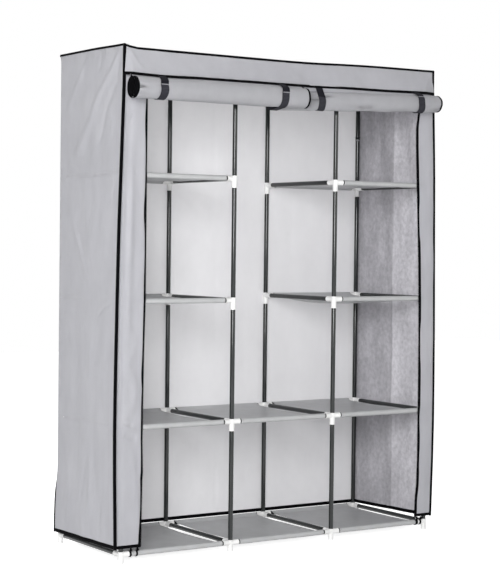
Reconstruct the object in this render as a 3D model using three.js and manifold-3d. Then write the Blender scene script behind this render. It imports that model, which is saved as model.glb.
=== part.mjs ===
// Portable fabric wardrobe: a frame of steel tubes held in plastic connectors, three columns wide and
// four tiers high, with cloth shelves and a sewn cloth cover whose two front doors are rolled up.
// Millimetres, +X to the right, +Y to the back, +Z up. The origin is on the floor, under the middle.
import * as THREE from 'three';
import { mergeVertices } from 'three/addons/utils/BufferGeometryUtils.js';
import Module from 'manifold-3d';

const wasm = await Module();
wasm.setup();

// Frame: pitch of the tubes, and height of the lowest rails above the floor
const bayWidth = 425.4;
const bayDepth = 426;
const tierHeight = 411.5;
const footHeight = 30;
const topRailDrop = 10;
const tubeDiameter = 16;
const tubeWall = 0.6;

// Plastic connectors: sockets that the rails plug into, with a closed sole on the floor
const socketClearance = 0.3;
const connectorWall = 1.2;
const connectorDrop = 32;
const armReachX = 31;
const armReachY = 37;
const socketDepth = 15;
const footSole = 3;
const teeHalfLength = 22;

// Cloth of the cover, the shelves and the doors
const clothThickness = 0.8;
const clothClearance = 0.4;
const seamGap = 0.3;

// Shelves: cloth with a sleeve at the front and the back, each round one tube
const sleeveInset = 36;
const sleeveDepth = 26;
const shelfSag = 5;

// Cover: hem above the floor, fascia over the doors, and the strip beside each door
const hemHeight = 48;
const fasciaHeight = 90;
const fasciaFlare = 40;
const flareWidth = 150;
const leftStripWidth = 87;
const rightStripWidth = 59;
const roofSag = 5;
const sideBulge = 15;
const sideFold = 5;
const backFold = 4;
const stripFold = 6;

// Rolled doors: each roll flattens at its inner end, where the left one lies in front of the right one
const rollLayer = 0.8;
const leftRoll = {
  outerInset: 3, overlap: 20, standoff: 15, innerStandoff: 44, hang: 52,
  outerDepth: 75, innerDepth: 60, outerHeight: 75, innerHeight: 75, rise: 0,
};
const rightRoll = {
  outerInset: 16, overlap: 75, standoff: 22, innerStandoff: 15, hang: 37,
  outerDepth: 65, innerDepth: 20, outerHeight: 65, innerHeight: 70, rise: -25,
};

// Straps: a band from the seam behind each roll, round it, and up its front to the seam
const strapWidth = 29;
const strapThickness = 1.2;
const strapGap = 0.5;
const strapBack = 3.5;

// Zips: a slider on the edge of each strip, with a pull that hangs from it
const sliderWidth = 12;
const sliderHeight = 14;
const sliderOverlap = 5;
const sliderWing = 0.9;
const sliderClearance = 0.3;
const sliderDrop = 6;
const lugThickness = 1.5;
const lugReach = 4.6;
const pinDiameter = 1.8;
const pullWidth = 5;
const pullLength = 20;
const pullThickness = 1.2;

// Places along a roll from its outer end, as shares of the roll's length
const leftStrapShares = [0.166, 0.856];
const rightStrapShares = [0.145, 0.763];

// Counts and shares
const tiers = 4;
const rowsPerTierCount = 3;
const sideColumnCount = 10;
const backColumnCount = 12;
const foldCount = 3;
const creaseShare = 0.4;
const billowShare = 0.7;
const flatterShare = 0.3;
const tubeSideCount = 8;
const ellipseSideCount = 24;
const turnStepCount = 14;
const rollTurnCount = 4;
const coreShare = 0.3;
const dropColumnCount = 18;
const shelfStepCount = 4;
const mergeTolerance = 0.0001;
const attachAngle = THREE.MathUtils.degToRad(70);

const materials = {
  steel: { color: 0x23292d, roughness: 0.3, metalness: 0.6 },
  cover: { color: 0xc2c2c6, roughness: 0.9, metalness: 0 },
  shelf: { color: 0xa9aaa6, roughness: 0.9, metalness: 0 },
  strap: { color: 0x16161a, roughness: 0.7, metalness: 0 },
  zip: { color: 0x2c2c30, roughness: 0.35, metalness: 0.8 },
};

// Sizes that follow from these
const tubeRadius = tubeDiameter / 2;
const tubeBore = tubeRadius - tubeWall;
const socketRadius = tubeRadius + socketClearance;
const connectorRadius = socketRadius + connectorWall;
const flatShare = Math.cos(Math.PI / tubeSideCount);
const lineX = [-1.5, -0.5, 0.5, 1.5].map((pitches) => pitches * bayWidth);
const lineY = { front: -bayDepth / 2, rear: bayDepth / 2 };
const roofLevelZ = footHeight + tiers * tierHeight;
const topZ = roofLevelZ - topRailDrop;
const levelZ = Array.from({ length: tiers + 1 }, (_, level) => Math.min(footHeight + level * tierHeight, topZ));
const coverHalfWidth = lineX[3] + connectorRadius + clothClearance;
const coverHalfDepth = bayDepth / 2 + connectorRadius + clothClearance;
const roofZ = roofLevelZ + connectorRadius + clothClearance;
const panelTop = roofZ - seamGap;
const seamZ = panelTop - fasciaHeight;
const coverFront = -coverHalfDepth - clothThickness;
const clothMidY = -coverHalfDepth - clothThickness / 2;
const openingLeft = -coverHalfWidth - clothThickness + leftStripWidth;
const openingRight = coverHalfWidth + clothThickness - rightStripWidth;

const wardrobe = new THREE.Group();

function addPart(name, material, geometry) {
  const look = new THREE.MeshStandardMaterial(materials[material]);
  const mesh = new THREE.Mesh(geometry, look);
  mesh.name = name;
  wardrobe.add(mesh);
  return mesh;
}

// Solids for joining and cutting
function solidOf(geometry) {
  const plain = geometry.index ? geometry.clone() : geometry;
  for (const name of Object.keys(plain.attributes)) {
    if (name !== 'position') plain.deleteAttribute(name);
  }
  const merged = mergeVertices(plain, mergeTolerance);
  const vertProperties = new Float32Array(merged.attributes.position.array);
  const triVerts = new Uint32Array(merged.index.array);
  return new wasm.Manifold(new wasm.Mesh({ numProp: 3, vertProperties, triVerts }));
}

function geometryOf(solid) {
  const mesh = solid.getMesh();
  const geometry = new THREE.BufferGeometry();
  geometry.setAttribute('position', new THREE.BufferAttribute(mesh.vertProperties, 3));
  geometry.setIndex(new THREE.BufferAttribute(mesh.triVerts, 1));
  return geometry;
}

const joined = (solids) => solids.reduce((sum, solid) => sum.add(solid));

// A bar with flats, from one point to another along an axis of the frame
function bar(radius, from, to) {
  const start = new THREE.Vector3(...from);
  const end = new THREE.Vector3(...to);
  const along = end.clone().sub(start);
  const geometry = new THREE.CylinderGeometry(radius, radius, along.length(), tubeSideCount);
  geometry.rotateY(Math.PI / tubeSideCount);
  const turn = new THREE.Quaternion().setFromUnitVectors(new THREE.Vector3(0, 1, 0), along.normalize());
  geometry.applyQuaternion(turn);
  geometry.translate(...start.add(end).multiplyScalar(0.5).toArray());
  return solidOf(geometry);
}

function tube(from, to) {
  return bar(tubeRadius, from, to).subtract(bar(tubeBore, from, to));
}

// Posts: one upright tube with its connectors, whose arms point to the neighbouring lines. The top rails lie
// a little low, and the caps of the four corner posts stand above them and carry the roof.
function post(line, side) {
  const x = lineX[line];
  const y = lineY[side];
  const inward = -Math.sign(y);
  const isCorner = line === 0 || line === lineX.length - 1;
  const solids = [bar(tubeRadius, [x, y, levelZ[0]], [x, y, topZ])];
  const sockets = [bar(tubeBore, [x, y, footSole], [x, y, topZ + tierHeight])];
  levelZ.forEach((z, level) => {
    const lower = level === 0 ? 0 : z - connectorDrop;
    const upper = (level === tiers && isCorner ? roofLevelZ : z) + connectorRadius;
    solids.push(bar(connectorRadius, [x, y, lower], [x, y, upper]));
    const arms = [[0, inward * armReachY]];
    if (hasRail(line - 1, level)) arms.push([-armReachX, 0]);
    if (hasRail(line, level)) arms.push([armReachX, 0]);
    for (const [dx, dy] of arms) {
      const reach = Math.abs(dx + dy);
      const inner = (reach - socketDepth) / reach;
      const outer = (reach + socketDepth) / reach;
      solids.push(bar(connectorRadius, [x, y, z], [x + dx, y + dy, z]));
      sockets.push(bar(socketRadius, [x + dx * inner, y + dy * inner, z], [x + dx * outer, y + dy * outer, z]));
    }
  });
  return geometryOf(joined(solids).subtract(joined(sockets)));
}

// The outer columns have rails along X at every level, the middle one only at the two lowest and the top
function hasRail(bay, level) {
  const outerBay = bay === 0 || bay === 2;
  const middleBay = bay === 1 && (level < 2 || level === tiers);
  return outerBay || middleBay;
}

const railInsetX = armReachX - socketDepth + socketClearance;
const railInsetY = armReachY - socketDepth + socketClearance;

function railX(bay, side, level) {
  const y = lineY[side];
  const z = levelZ[level];
  return tube([lineX[bay] + railInsetX, y, z], [lineX[bay + 1] - railInsetX, y, z]);
}

function railY(line, level) {
  const z = levelZ[level];
  return tube([lineX[line], lineY.front + railInsetY, z], [lineX[line], lineY.rear - railInsetY, z]);
}

// The hanging rail runs between the two inner top rails, and its ends are tees round them
function hangingRail() {
  const [left, right] = [lineX[1], lineX[2]];
  const bars = [];
  const bores = [bar(tubeBore, [left, 0, topZ], [right, 0, topZ])];
  for (const [x, towards] of [[left, 1], [right, -1]]) {
    const ends = [[x, lineY.front + railInsetY, topZ], [x, lineY.rear - railInsetY, topZ]];
    bars.push(bar(tubeRadius, ...ends));
    bars.push(bar(connectorRadius, [x, -teeHalfLength, topZ], [x, teeHalfLength, topZ]));
    bars.push(bar(connectorRadius, [x, 0, topZ], [x + towards * armReachX, 0, topZ]));
    bores.push(bar(tubeBore, ...ends));
  }
  bars.push(bar(tubeRadius, [left, 0, topZ], [right, 0, topZ]));
  return geometryOf(joined(bars).subtract(joined(bores)));
}

// Shelves: the cloth lies level with the middle of its two tubes and sags between them. At each end it folds
// back round the tube to a seam, and the tubes stand out of both ends of these sleeves.
function shelf(bay, level) {
  const z = levelZ[level];
  const [left, right] = [lineX[bay], lineX[bay + 1]];
  const [sleeveLeft, sleeveRight] = [left + sleeveInset, right - sleeveInset];
  const sleeveRadius = tubeRadius + clothThickness;
  const foldHeight = sleeveRadius * flatShare;
  const halfThickness = clothThickness / 2;
  const panelLength = bayDepth - 2 * sleeveDepth;
  const panelPoints = [];
  for (let step = 0; step <= shelfStepCount; step += 1) {
    const share = step / shelfStepCount;
    const sag = shelfSag * Math.sin(Math.PI * share);
    panelPoints.push([lineY.front + sleeveDepth + panelLength * share, z - sag]);
  }
  const face = (side) => [
    new THREE.Vector2(lineY.front, z + side * foldHeight),
    ...panelPoints.map(([y, middle]) => new THREE.Vector2(y, middle + side * halfThickness)),
    new THREE.Vector2(lineY.rear, z + side * foldHeight),
  ];
  const profile = [...face(1), ...face(-1).reverse()];
  let cloth = solidOf(extrudeAlongX(profile, sleeveLeft, sleeveRight));
  const hollowHeight = foldHeight - clothThickness;
  const hollowDepth = sleeveDepth * hollowHeight / (foldHeight - halfThickness);
  for (const y of [lineY.front, lineY.rear]) {
    const hollow = [[y, z + hollowHeight], [y - Math.sign(y) * hollowDepth, z], [y, z - hollowHeight]];
    const corners = hollow.map(([along, height]) => new THREE.Vector2(along, height));
    cloth = cloth.subtract(solidOf(extrudeAlongX(y < 0 ? corners : corners.reverse(), left, right)));
  }
  const parts = [cloth];
  const bores = [];
  for (const y of [lineY.front, lineY.rear]) {
    const tubeEnds = [[left + railInsetX, y, z], [right - railInsetX, y, z]];
    parts.push(bar(sleeveRadius, [left + sleeveInset, y, z], [right - sleeveInset, y, z]));
    parts.push(bar(tubeRadius, ...tubeEnds));
    bores.push(bar(tubeBore, ...tubeEnds));
  }
  return geometryOf(joined(parts).subtract(joined(bores)));
}

// An outline in Y and Z, drawn out along X
function extrudeAlongX(outline, lowX, highX) {
  const shape = new THREE.Shape(outline);
  const geometry = new THREE.ExtrudeGeometry(shape, { depth: highX - lowX, bevelEnabled: false });
  const turn = new THREE.Matrix4().makeBasis(
    new THREE.Vector3(0, 1, 0),
    new THREE.Vector3(0, 0, 1),
    new THREE.Vector3(1, 0, 0),
  );
  geometry.applyMatrix4(turn);
  geometry.translate(lowX, 0, 0);
  return geometry;
}

// A sheet of cloth on a grid. faces gives the points of its two faces, cells that keep refuses are left
// out, and rims close it all round.
function sheetSolid({ columns, rows, faces, keep = () => true }) {
  const positions = [];
  const layerSize = (columns + 1) * (rows + 1);
  for (const face of [0, 1]) {
    for (let j = 0; j <= rows; j += 1) {
      for (let i = 0; i <= columns; i += 1) positions.push(...faces(i, j)[face].toArray());
    }
  }
  const at = (i, j, face) => face * layerSize + j * (columns + 1) + i;
  const kept = (i, j) => i >= 0 && j >= 0 && i < columns && j < rows && keep(i, j);
  const quads = [];
  for (let j = 0; j < rows; j += 1) {
    for (let i = 0; i < columns; i += 1) {
      if (!kept(i, j)) continue;
      const corners = [[i, j], [i + 1, j], [i + 1, j + 1], [i, j + 1]];
      const neighbours = [[i, j - 1], [i + 1, j], [i, j + 1], [i - 1, j]];
      quads.push(corners.map(([a, b]) => at(a, b, 1)));
      quads.push([0, 3, 2, 1].map((corner) => at(...corners[corner], 0)));
      neighbours.forEach((cell, edge) => {
        if (kept(...cell)) return;
        const [start, end] = [corners[edge], corners[(edge + 1) % corners.length]];
        quads.push([at(...start, 0), at(...end, 0), at(...end, 1), at(...start, 1)]);
      });
    }
  }
  const [first, over] = faces(0, 0);
  const across = faces(1, 0)[0].sub(first);
  const upward = faces(0, 1)[0].sub(first);
  const turned = across.cross(upward).dot(over.sub(first)) < 0;
  const index = quads.flatMap(([a, b, c, d]) => (turned ? [a, c, b, a, d, c] : [a, b, c, a, c, d]));
  const geometry = new THREE.BufferGeometry();
  geometry.setAttribute('position', new THREE.Float32BufferAttribute(positions, 3));
  geometry.setIndex(index);
  return geometry;
}

// A panel of the cover: place gives its inner face, and its thickness goes outward
function panel({ place, outward, ...grid }) {
  const faces = (i, j) => [place(i, j), place(i, j).addScaledVector(outward, clothThickness)];
  return sheetSolid({ ...grid, faces });
}

// Heights of the panels' grid rows: the hem, each tier's quarters, and the top edge
const panelRows = Array.from({ length: tiers * rowsPerTierCount + 1 }, (_, row) => {
  if (row === 0) return hemHeight;
  return row === tiers * rowsPerTierCount ? panelTop : footHeight + row * tierHeight / rowsPerTierCount;
});

const mixed = (a, b, share) => a + (b - a) * share;
const wave = (share, count) => (1 - Math.cos(2 * Math.PI * count * share)) / 2;
const heightShare = (z) => (z - hemHeight) / (panelTop - hemHeight);
const midLift = (z) => Math.sin(Math.PI * heightShare(z));
const cornerBulge = (z) => sideBulge * midLift(z);
// The cloth lies closest to the frame where a rail is behind it
const billow = (z) => Math.abs(Math.sin(Math.PI * (z - footHeight) / tierHeight));

function sidePanel(side) {
  const depth = coverHalfDepth - seamGap;
  return panel({
    columns: sideColumnCount,
    rows: panelRows.length - 1,
    outward: new THREE.Vector3(side, 0, 0),
    place: (i, j) => {
      const share = i / sideColumnCount;
      const z = panelRows[j];
      const middle = wave(share, 1);
      const lowFolds = wave(share, foldCount) * (1 - heightShare(z));
      const fold = sideFold * middle * mixed(lowFolds, billow(z), creaseShare);
      const bulge = cornerBulge(z) * (1 - flatterShare * middle);
      return new THREE.Vector3(side * (coverHalfWidth + bulge + fold), depth * (2 * share - 1), z);
    },
  });
}

function backPanel() {
  const halfWidth = coverHalfWidth + clothThickness;
  return panel({
    columns: backColumnCount,
    rows: panelRows.length - 1,
    outward: new THREE.Vector3(0, 1, 0),
    place: (i, j) => {
      const share = i / backColumnCount;
      const z = panelRows[j];
      const edge = halfWidth + cornerBulge(z);
      const fold = backFold * wave(share, foldCount) * mixed(1, billow(z), billowShare) * midLift(z);
      return new THREE.Vector3(edge * (2 * share - 1), coverHalfDepth + fold, z);
    },
  });
}

// How far the rolled doors push the fascia's lower edge forward, at a place along it
function flare(x) {
  const inside = coverHalfWidth + clothThickness - Math.abs(x);
  return fasciaFlare * THREE.MathUtils.smoothstep(inside, 0, flareWidth);
}

// Front of the doors at that edge, where the left door is the second layer from the rear
const seamLine = (x, layer) => coverFront - flare(x) - layer * (clothThickness + seamGap);

// The front is one sewn piece: a strip at each side of the doors, and a fascia over them
const stripShares = [0, 0.22, 0.42, 0.66, 0.86, 1];
const stripLiftShares = [0, 1, 0.15, 0.6, 0, 0];

function frontStrip(side, inner) {
  return panel({
    columns: stripShares.length - 1,
    rows: panelRows.length - 1,
    outward: new THREE.Vector3(0, -1, 0),
    place: (i, j) => {
      const z = panelRows[j];
      const edge = side * (coverHalfWidth + clothThickness + cornerBulge(z));
      const fold = stripFold * stripLiftShares[i] * mixed(1, billow(z), billowShare) * midLift(z);
      return new THREE.Vector3(edge + (inner - edge) * stripShares[i], -coverHalfDepth - fold, z);
    },
  });
}

// The fascia's columns lie closer together where its lower edge comes forward, and its rows go up
const flareStopShares = [0, 0.2, 0.4, 0.6, 0.8, 1];
const flareShares = [1, 0.55, 0.2, 0];

function fascia() {
  const halfWidth = coverHalfWidth + clothThickness;
  const stops = flareStopShares.map((share) => halfWidth - share * flareWidth);
  const xs = [...stops.map((stop) => -stop), ...stops.reverse()];
  const rows = flareShares.length - 1;
  return panel({
    columns: xs.length - 1,
    rows,
    outward: new THREE.Vector3(0, -1, 0),
    place: (i, j) => {
      const z = seamZ + fasciaHeight * j / rows;
      return new THREE.Vector3(xs[i], clothMidY - flare(xs[i]) * flareShares[j], z);
    },
  });
}

function frontPanel() {
  const sheets = [frontStrip(-1, openingLeft), frontStrip(1, openingRight), fascia()];
  return geometryOf(joined(sheets.map(solidOf)));
}

// The roof lies on the connectors and sinks a little between the rails of the outer bays
function roofPanel() {
  const halfWidth = coverHalfWidth + clothThickness;
  const halfDepth = coverHalfDepth + clothThickness;
  const xs = [-halfWidth, ...lineX.slice(0, 1), -bayWidth, lineX[1], 0, lineX[2], bayWidth, lineX[3], halfWidth];
  const ys = [-halfDepth, lineY.front, 0, lineY.rear, halfDepth];
  const sunk = (i, j) => (i === 2 || i === 6) && j === 2;
  return panel({
    columns: xs.length - 1,
    rows: ys.length - 1,
    outward: new THREE.Vector3(0, 0, 1),
    place: (i, j) => new THREE.Vector3(xs[i], ys[j], roofZ - (sunk(i, j) ? roofSag : 0)),
  });
}

// Rolled doors. A roll is described by its section at any share of its length from the outer end.
function rollOf(size, side) {
  const outerX = side * (coverHalfWidth + clothThickness - size.outerInset);
  const innerX = -side * size.overlap;
  const section = (share) => {
    const mix = (a, b) => a + (b - a) * share;
    const radiusY = mix(size.outerDepth, size.innerDepth) / 2;
    return {
      x: mix(outerX, innerX),
      y: coverFront - mix(size.standoff, size.innerStandoff) - radiusY,
      z: seamZ - size.hang + mix(0, size.rise),
      radiusY,
      radiusZ: mix(size.outerHeight, size.innerHeight) / 2,
    };
  };
  const shareAt = (x) => (x - outerX) / (innerX - outerX);
  return { outerX, innerX, section, shareAt, length: Math.abs(innerX - outerX) };
}

const onEllipse = ({ y, z, radiusY, radiusZ }, angle, share = 1, inset = 0) => new THREE.Vector2(
  y + (radiusY * share - inset) * Math.cos(angle),
  z + (radiusZ * share - inset) * Math.sin(angle),
);

// The door winds in from the upper back, down behind the roll and up its front
function rolledDoor(roll) {
  const columns = rollTurnCount * turnStepCount;
  const rows = 2;
  return sheetSolid({
    columns,
    rows,
    faces: (i, j) => {
      const section = roll.section(j / rows);
      const angle = attachAngle - 2 * Math.PI * i / turnStepCount;
      const share = 1 - (1 - coreShare) * i / columns;
      return [rollLayer, 0].map((inset) => {
        const { x, y } = onEllipse(section, angle, share, inset);
        return new THREE.Vector3(section.x, x, y);
      });
    },
  });
}

// The cloth between the fascia's lower edge and the roll
function doorDrop(roll, layer) {
  const rows = 2;
  return panel({
    columns: dropColumnCount,
    rows,
    outward: new THREE.Vector3(0, 1, 0),
    place: (i, j) => {
      const section = roll.section(i / dropColumnCount);
      const meet = onEllipse(section, attachAngle, 1, -seamGap);
      const low = new THREE.Vector3(section.x, meet.x, meet.y);
      const top = new THREE.Vector3(section.x, seamLine(section.x, layer), seamZ - seamGap);
      return low.lerpVectors(top, low.clone(), j / rows);
    },
  });
}

// Straps go round the rolls that they pass, from the fascia's lower edge to its front
function convexHull(points) {
  const sorted = [...points].sort((a, b) => a.x - b.x || a.y - b.y);
  const turn = (a, b, c) => (b.x - a.x) * (c.y - a.y) - (b.y - a.y) * (c.x - a.x);
  const half = (list) => list.reduce((chain, point) => {
    while (chain.length > 1 && turn(chain.at(-2), chain.at(-1), point) <= 0) chain.pop();
    chain.push(point);
    return chain;
  }, []);
  const lower = half(sorted);
  const upper = half(sorted.reverse());
  return [...lower.slice(0, -1), ...upper.slice(0, -1)];
}

function strap(x, rolls) {
  const round = 1 / Math.cos(Math.PI / ellipseSideCount);
  const edges = [x - strapWidth / 2, x + strapWidth / 2];
  const rim = (inset) => rolls.flatMap((roll) => edges.flatMap((edge) => {
    const section = roll.section(Math.min(1, Math.max(0, roll.shareAt(edge))));
    const meet = onEllipse(section, attachAngle, 1, -seamGap);
    const overDrop = new THREE.Vector2(meet.x + clothThickness + inset, meet.y + inset);
    const ring = Array.from({ length: ellipseSideCount }, (_, k) => (
      onEllipse(section, 2 * Math.PI * k / ellipseSideCount, round, -inset)
    ));
    return [overDrop, ...ring];
  }));
  const seams = edges.map((edge) => seamLine(edge, 2));
  const rearTop = new THREE.Vector2(Math.max(...seams) + strapBack, seamZ - seamGap);
  const frontTop = new THREE.Vector2(Math.min(...seams) - seamGap, seamZ - seamGap);
  // From the seam down behind the roll, under it and up the front, first the inner face, then the outer
  const band = (inset, spread) => {
    const ends = [
      new THREE.Vector2(rearTop.x + spread, rearTop.y),
      new THREE.Vector2(frontTop.x - spread, frontTop.y),
    ];
    const hull = convexHull([...rim(inset), ...ends]).reverse();
    const first = hull.indexOf(ends[0]);
    return [...hull.slice(first), ...hull.slice(0, first)];
  };
  const inside = band(strapGap, 0);
  const outside = band(strapGap + strapThickness, strapThickness).reverse();
  return extrudeAlongX([...inside, ...outside], ...edges);
}

// Zip slider: two wings and a bridge round the edge of the strip, and two lugs that hold the pull's pin
const slotHalf = clothThickness / 2 + sliderClearance;
const wingFront = clothMidY - slotHalf - sliderWing;
const pivotY = wingFront - lugReach / 2;
const sliderTop = seamZ - sliderDrop;
const pivotZ = sliderTop - sliderHeight / 2;

function boxSolid(lowX, highX, lowY, highY, lowZ, highZ) {
  const geometry = new THREE.BoxGeometry(highX - lowX, highY - lowY, highZ - lowZ);
  geometry.translate((lowX + highX) / 2, (lowY + highY) / 2, (lowZ + highZ) / 2);
  return solidOf(geometry);
}

const lugInner = pullWidth / 2 + sliderClearance;
const lugOuter = lugInner + lugThickness;

function zipSlider(edge, side) {
  const lowX = side < 0 ? edge - sliderOverlap : edge + sliderOverlap - sliderWidth;
  const highX = lowX + sliderWidth;
  const middle = (lowX + highX) / 2;
  const bottom = sliderTop - sliderHeight;
  const body = boxSolid(lowX, highX, wingFront, clothMidY + slotHalf + sliderWing, bottom, sliderTop);
  const slotLow = side < 0 ? lowX - sliderWidth : edge - sliderClearance;
  const slotHigh = side < 0 ? edge + sliderClearance : highX + sliderWidth;
  const low = bottom - sliderHeight;
  const slot = boxSolid(slotLow, slotHigh, clothMidY - slotHalf, clothMidY + slotHalf, low, seamZ);
  const lugs = [-1, 1].map((way) => {
    const [a, b] = way < 0 ? [-lugOuter, -lugInner] : [lugInner, lugOuter];
    const half = sliderHeight / 4;
    const rear = wingFront + sliderWing / 2;
    return boxSolid(middle + a, middle + b, wingFront - lugReach, rear, pivotZ - half, pivotZ + half);
  });
  const bore = bar(
    pinDiameter / 2 + sliderClearance,
    [middle - sliderWidth, pivotY, pivotZ],
    [middle + sliderWidth, pivotY, pivotZ],
  );
  return geometryOf(joined([body.subtract(slot), ...lugs]).subtract(bore));
}

function zipPull(edge, side) {
  const lowX = side < 0 ? edge - sliderOverlap : edge + sliderOverlap - sliderWidth;
  const middle = lowX + sliderWidth / 2;
  const half = pullThickness / 2;
  const bottom = pivotZ - pullLength;
  const tab = boxSolid(middle - pullWidth / 2, middle + pullWidth / 2, pivotY - half, pivotY + half, bottom, pivotZ);
  const pin = bar(pinDiameter / 2, [middle - lugOuter, pivotY, pivotZ], [middle + lugOuter, pivotY, pivotZ]);
  return geometryOf(tab.add(pin));
}

// Assembly
const lineNames = ['left_outer', 'left_inner', 'right_inner', 'right_outer'];
const bayNames = ['left', 'middle', 'right'];

lineNames.forEach((lineName, line) => {
  for (const side of ['front', 'rear']) addPart(`post_${lineName}_${side}`, 'steel', post(line, side));
  const innerLine = line === 1 || line === 2;
  const sideLevels = innerLine ? tiers : tiers + 1;
  for (let level = 0; level < sideLevels; level += 1) {
    addPart(`side_rail_${lineName}_${level}`, 'steel', geometryOf(railY(line, level)));
  }
});
addPart('hanging_rail', 'steel', hangingRail());

bayNames.forEach((bayName, bay) => {
  for (const side of ['front', 'rear']) {
    addPart(`top_rail_${bayName}_${side}`, 'steel', geometryOf(railX(bay, side, tiers)));
  }
  for (let level = 0; level < tiers; level += 1) {
    if (hasRail(bay, level)) addPart(`shelf_${bayName}_${level}`, 'shelf', shelf(bay, level));
  }
});

addPart('cover_left_side', 'cover', sidePanel(-1));
addPart('cover_right_side', 'cover', sidePanel(1));
addPart('cover_back', 'cover', backPanel());
addPart('cover_front', 'cover', frontPanel());
addPart('cover_roof', 'cover', roofPanel());

const rolls = { left: rollOf(leftRoll, -1), right: rollOf(rightRoll, 1) };
addPart('left_door_roll', 'cover', rolledDoor(rolls.left));
addPart('right_door_roll', 'cover', rolledDoor(rolls.right));
addPart('left_door_drop', 'cover', doorDrop(rolls.left, 2));
addPart('right_door_drop', 'cover', doorDrop(rolls.right, 1));

const strapX = (roll, share) => roll.outerX + (roll.innerX - roll.outerX) * share;
const [strapA, strapB] = leftStrapShares.map((share) => strapX(rolls.left, share));
const [strapD, strapC] = rightStrapShares.map((share) => strapX(rolls.right, share));
addPart('strap_left_outer', 'strap', strap(strapA, [rolls.left]));
addPart('strap_left_inner', 'strap', strap(strapB, [rolls.left, rolls.right]));
addPart('strap_right_inner', 'strap', strap(strapC, [rolls.right]));
addPart('strap_right_outer', 'strap', strap(strapD, [rolls.right]));

addPart('left_zip_slider', 'zip', zipSlider(openingLeft, -1));
addPart('right_zip_slider', 'zip', zipSlider(openingRight, 1));
addPart('left_zip_pull', 'zip', zipPull(openingLeft, -1));
addPart('right_zip_pull', 'zip', zipPull(openingRight, 1));

// The rolls stand out in front of the cover, so the middle of the whole lies in front of the frame's middle
const leftEnd = rolls.left.section(1);
const wholeFront = leftEnd.y - leftEnd.radiusY - strapThickness;
const wholeRear = coverHalfDepth + clothThickness + backFold;
wardrobe.position.y = -(wholeFront + wholeRear) / 2;

export default wardrobe;
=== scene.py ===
"""A portable fabric wardrobe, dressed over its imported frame. Metres.

Places are worked out in the cover's frame, whose origin lies under the middle of the cover, and SHIFT_Y
takes them to the part's own. A side is -1 for the left and 1 for the right.
"""

import math

import bmesh
import bpy
import numpy as np
from mathutils import Matrix, Vector


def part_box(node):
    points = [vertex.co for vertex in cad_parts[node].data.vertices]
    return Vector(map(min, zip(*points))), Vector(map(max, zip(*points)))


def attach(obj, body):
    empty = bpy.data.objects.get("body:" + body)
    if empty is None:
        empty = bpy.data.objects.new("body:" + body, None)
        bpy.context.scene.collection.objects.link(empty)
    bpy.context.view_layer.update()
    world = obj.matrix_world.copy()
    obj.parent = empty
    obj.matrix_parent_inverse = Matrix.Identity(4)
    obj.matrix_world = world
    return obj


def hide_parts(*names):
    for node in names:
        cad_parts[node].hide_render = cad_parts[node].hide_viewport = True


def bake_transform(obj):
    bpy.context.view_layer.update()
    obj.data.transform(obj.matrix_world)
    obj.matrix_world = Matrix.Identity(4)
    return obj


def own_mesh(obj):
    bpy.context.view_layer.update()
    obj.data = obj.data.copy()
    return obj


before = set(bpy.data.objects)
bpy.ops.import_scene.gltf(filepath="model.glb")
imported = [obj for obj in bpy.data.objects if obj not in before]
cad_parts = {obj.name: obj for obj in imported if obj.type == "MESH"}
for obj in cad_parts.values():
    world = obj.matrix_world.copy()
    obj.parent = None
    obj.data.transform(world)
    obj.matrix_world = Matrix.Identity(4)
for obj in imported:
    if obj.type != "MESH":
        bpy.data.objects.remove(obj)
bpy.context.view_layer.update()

MM = 0.001

# Sizes shared with the part
BAY_WIDTH, BAY_DEPTH, TIER, FOOT, TOP_RAIL_DROP = 425.4 * MM, 426 * MM, 411.5 * MM, 30 * MM, 10 * MM
TUBE_RADIUS, TUBE_WALL = 8 * MM, 0.6 * MM
SOCKET_RADIUS, CONNECTOR_RADIUS = 8.3 * MM, 9.5 * MM
CONNECTOR_DROP, ARM_X, ARM_Y, SOCKET_DEPTH, SOLE = 32 * MM, 31 * MM, 37 * MM, 15 * MM, 3 * MM
TEE_HALF = 22 * MM
CLOTH, SEAM_GAP, CLEARANCE = 0.8 * MM, 0.3 * MM, 0.4 * MM
SLEEVE_INSET, SLEEVE_DEPTH, SHELF_SAG = 36 * MM, 26 * MM, 5 * MM
HEM, FASCIA_HEIGHT, FASCIA_FLARE, FLARE_WIDTH = 48 * MM, 90 * MM, 40 * MM, 150 * MM
STRIP_WIDTH = {-1: 87 * MM, 1: 59 * MM}
SIDE_FOLD, BACK_FOLD, ROOF_SAG = 5 * MM, 4 * MM, 5 * MM
ATTACH_ANGLE = math.radians(70)
STRAP_WIDTH, STRAP_THICKNESS = 29 * MM, 1.2 * MM

# Places that follow from these, in the cover's frame
LINES = [pitch * BAY_WIDTH for pitch in (-1.5, -0.5, 0.5, 1.5)]
FRONT, REAR = -BAY_DEPTH / 2, BAY_DEPTH / 2
ROOF_LEVEL = FOOT + 4 * TIER
LEVELS = [FOOT + level * TIER for level in range(4)] + [ROOF_LEVEL - TOP_RAIL_DROP]
HALF_WIDTH = LINES[3] + CONNECTOR_RADIUS + CLEARANCE
HALF_DEPTH = BAY_DEPTH / 2 + CONNECTOR_RADIUS + CLEARANCE
ROOF = ROOF_LEVEL + CONNECTOR_RADIUS + CLEARANCE
PANEL_TOP = ROOF - SEAM_GAP
SEAM = PANEL_TOP - FASCIA_HEIGHT
COVER_FRONT = -HALF_DEPTH - CLOTH
EDGE_X = HALF_WIDTH + CLOTH
EDGE_Y = HALF_DEPTH + CLOTH
roof_low, roof_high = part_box("cover_roof")
SHIFT_Y = (roof_low.y + roof_high.y) / 2

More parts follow.
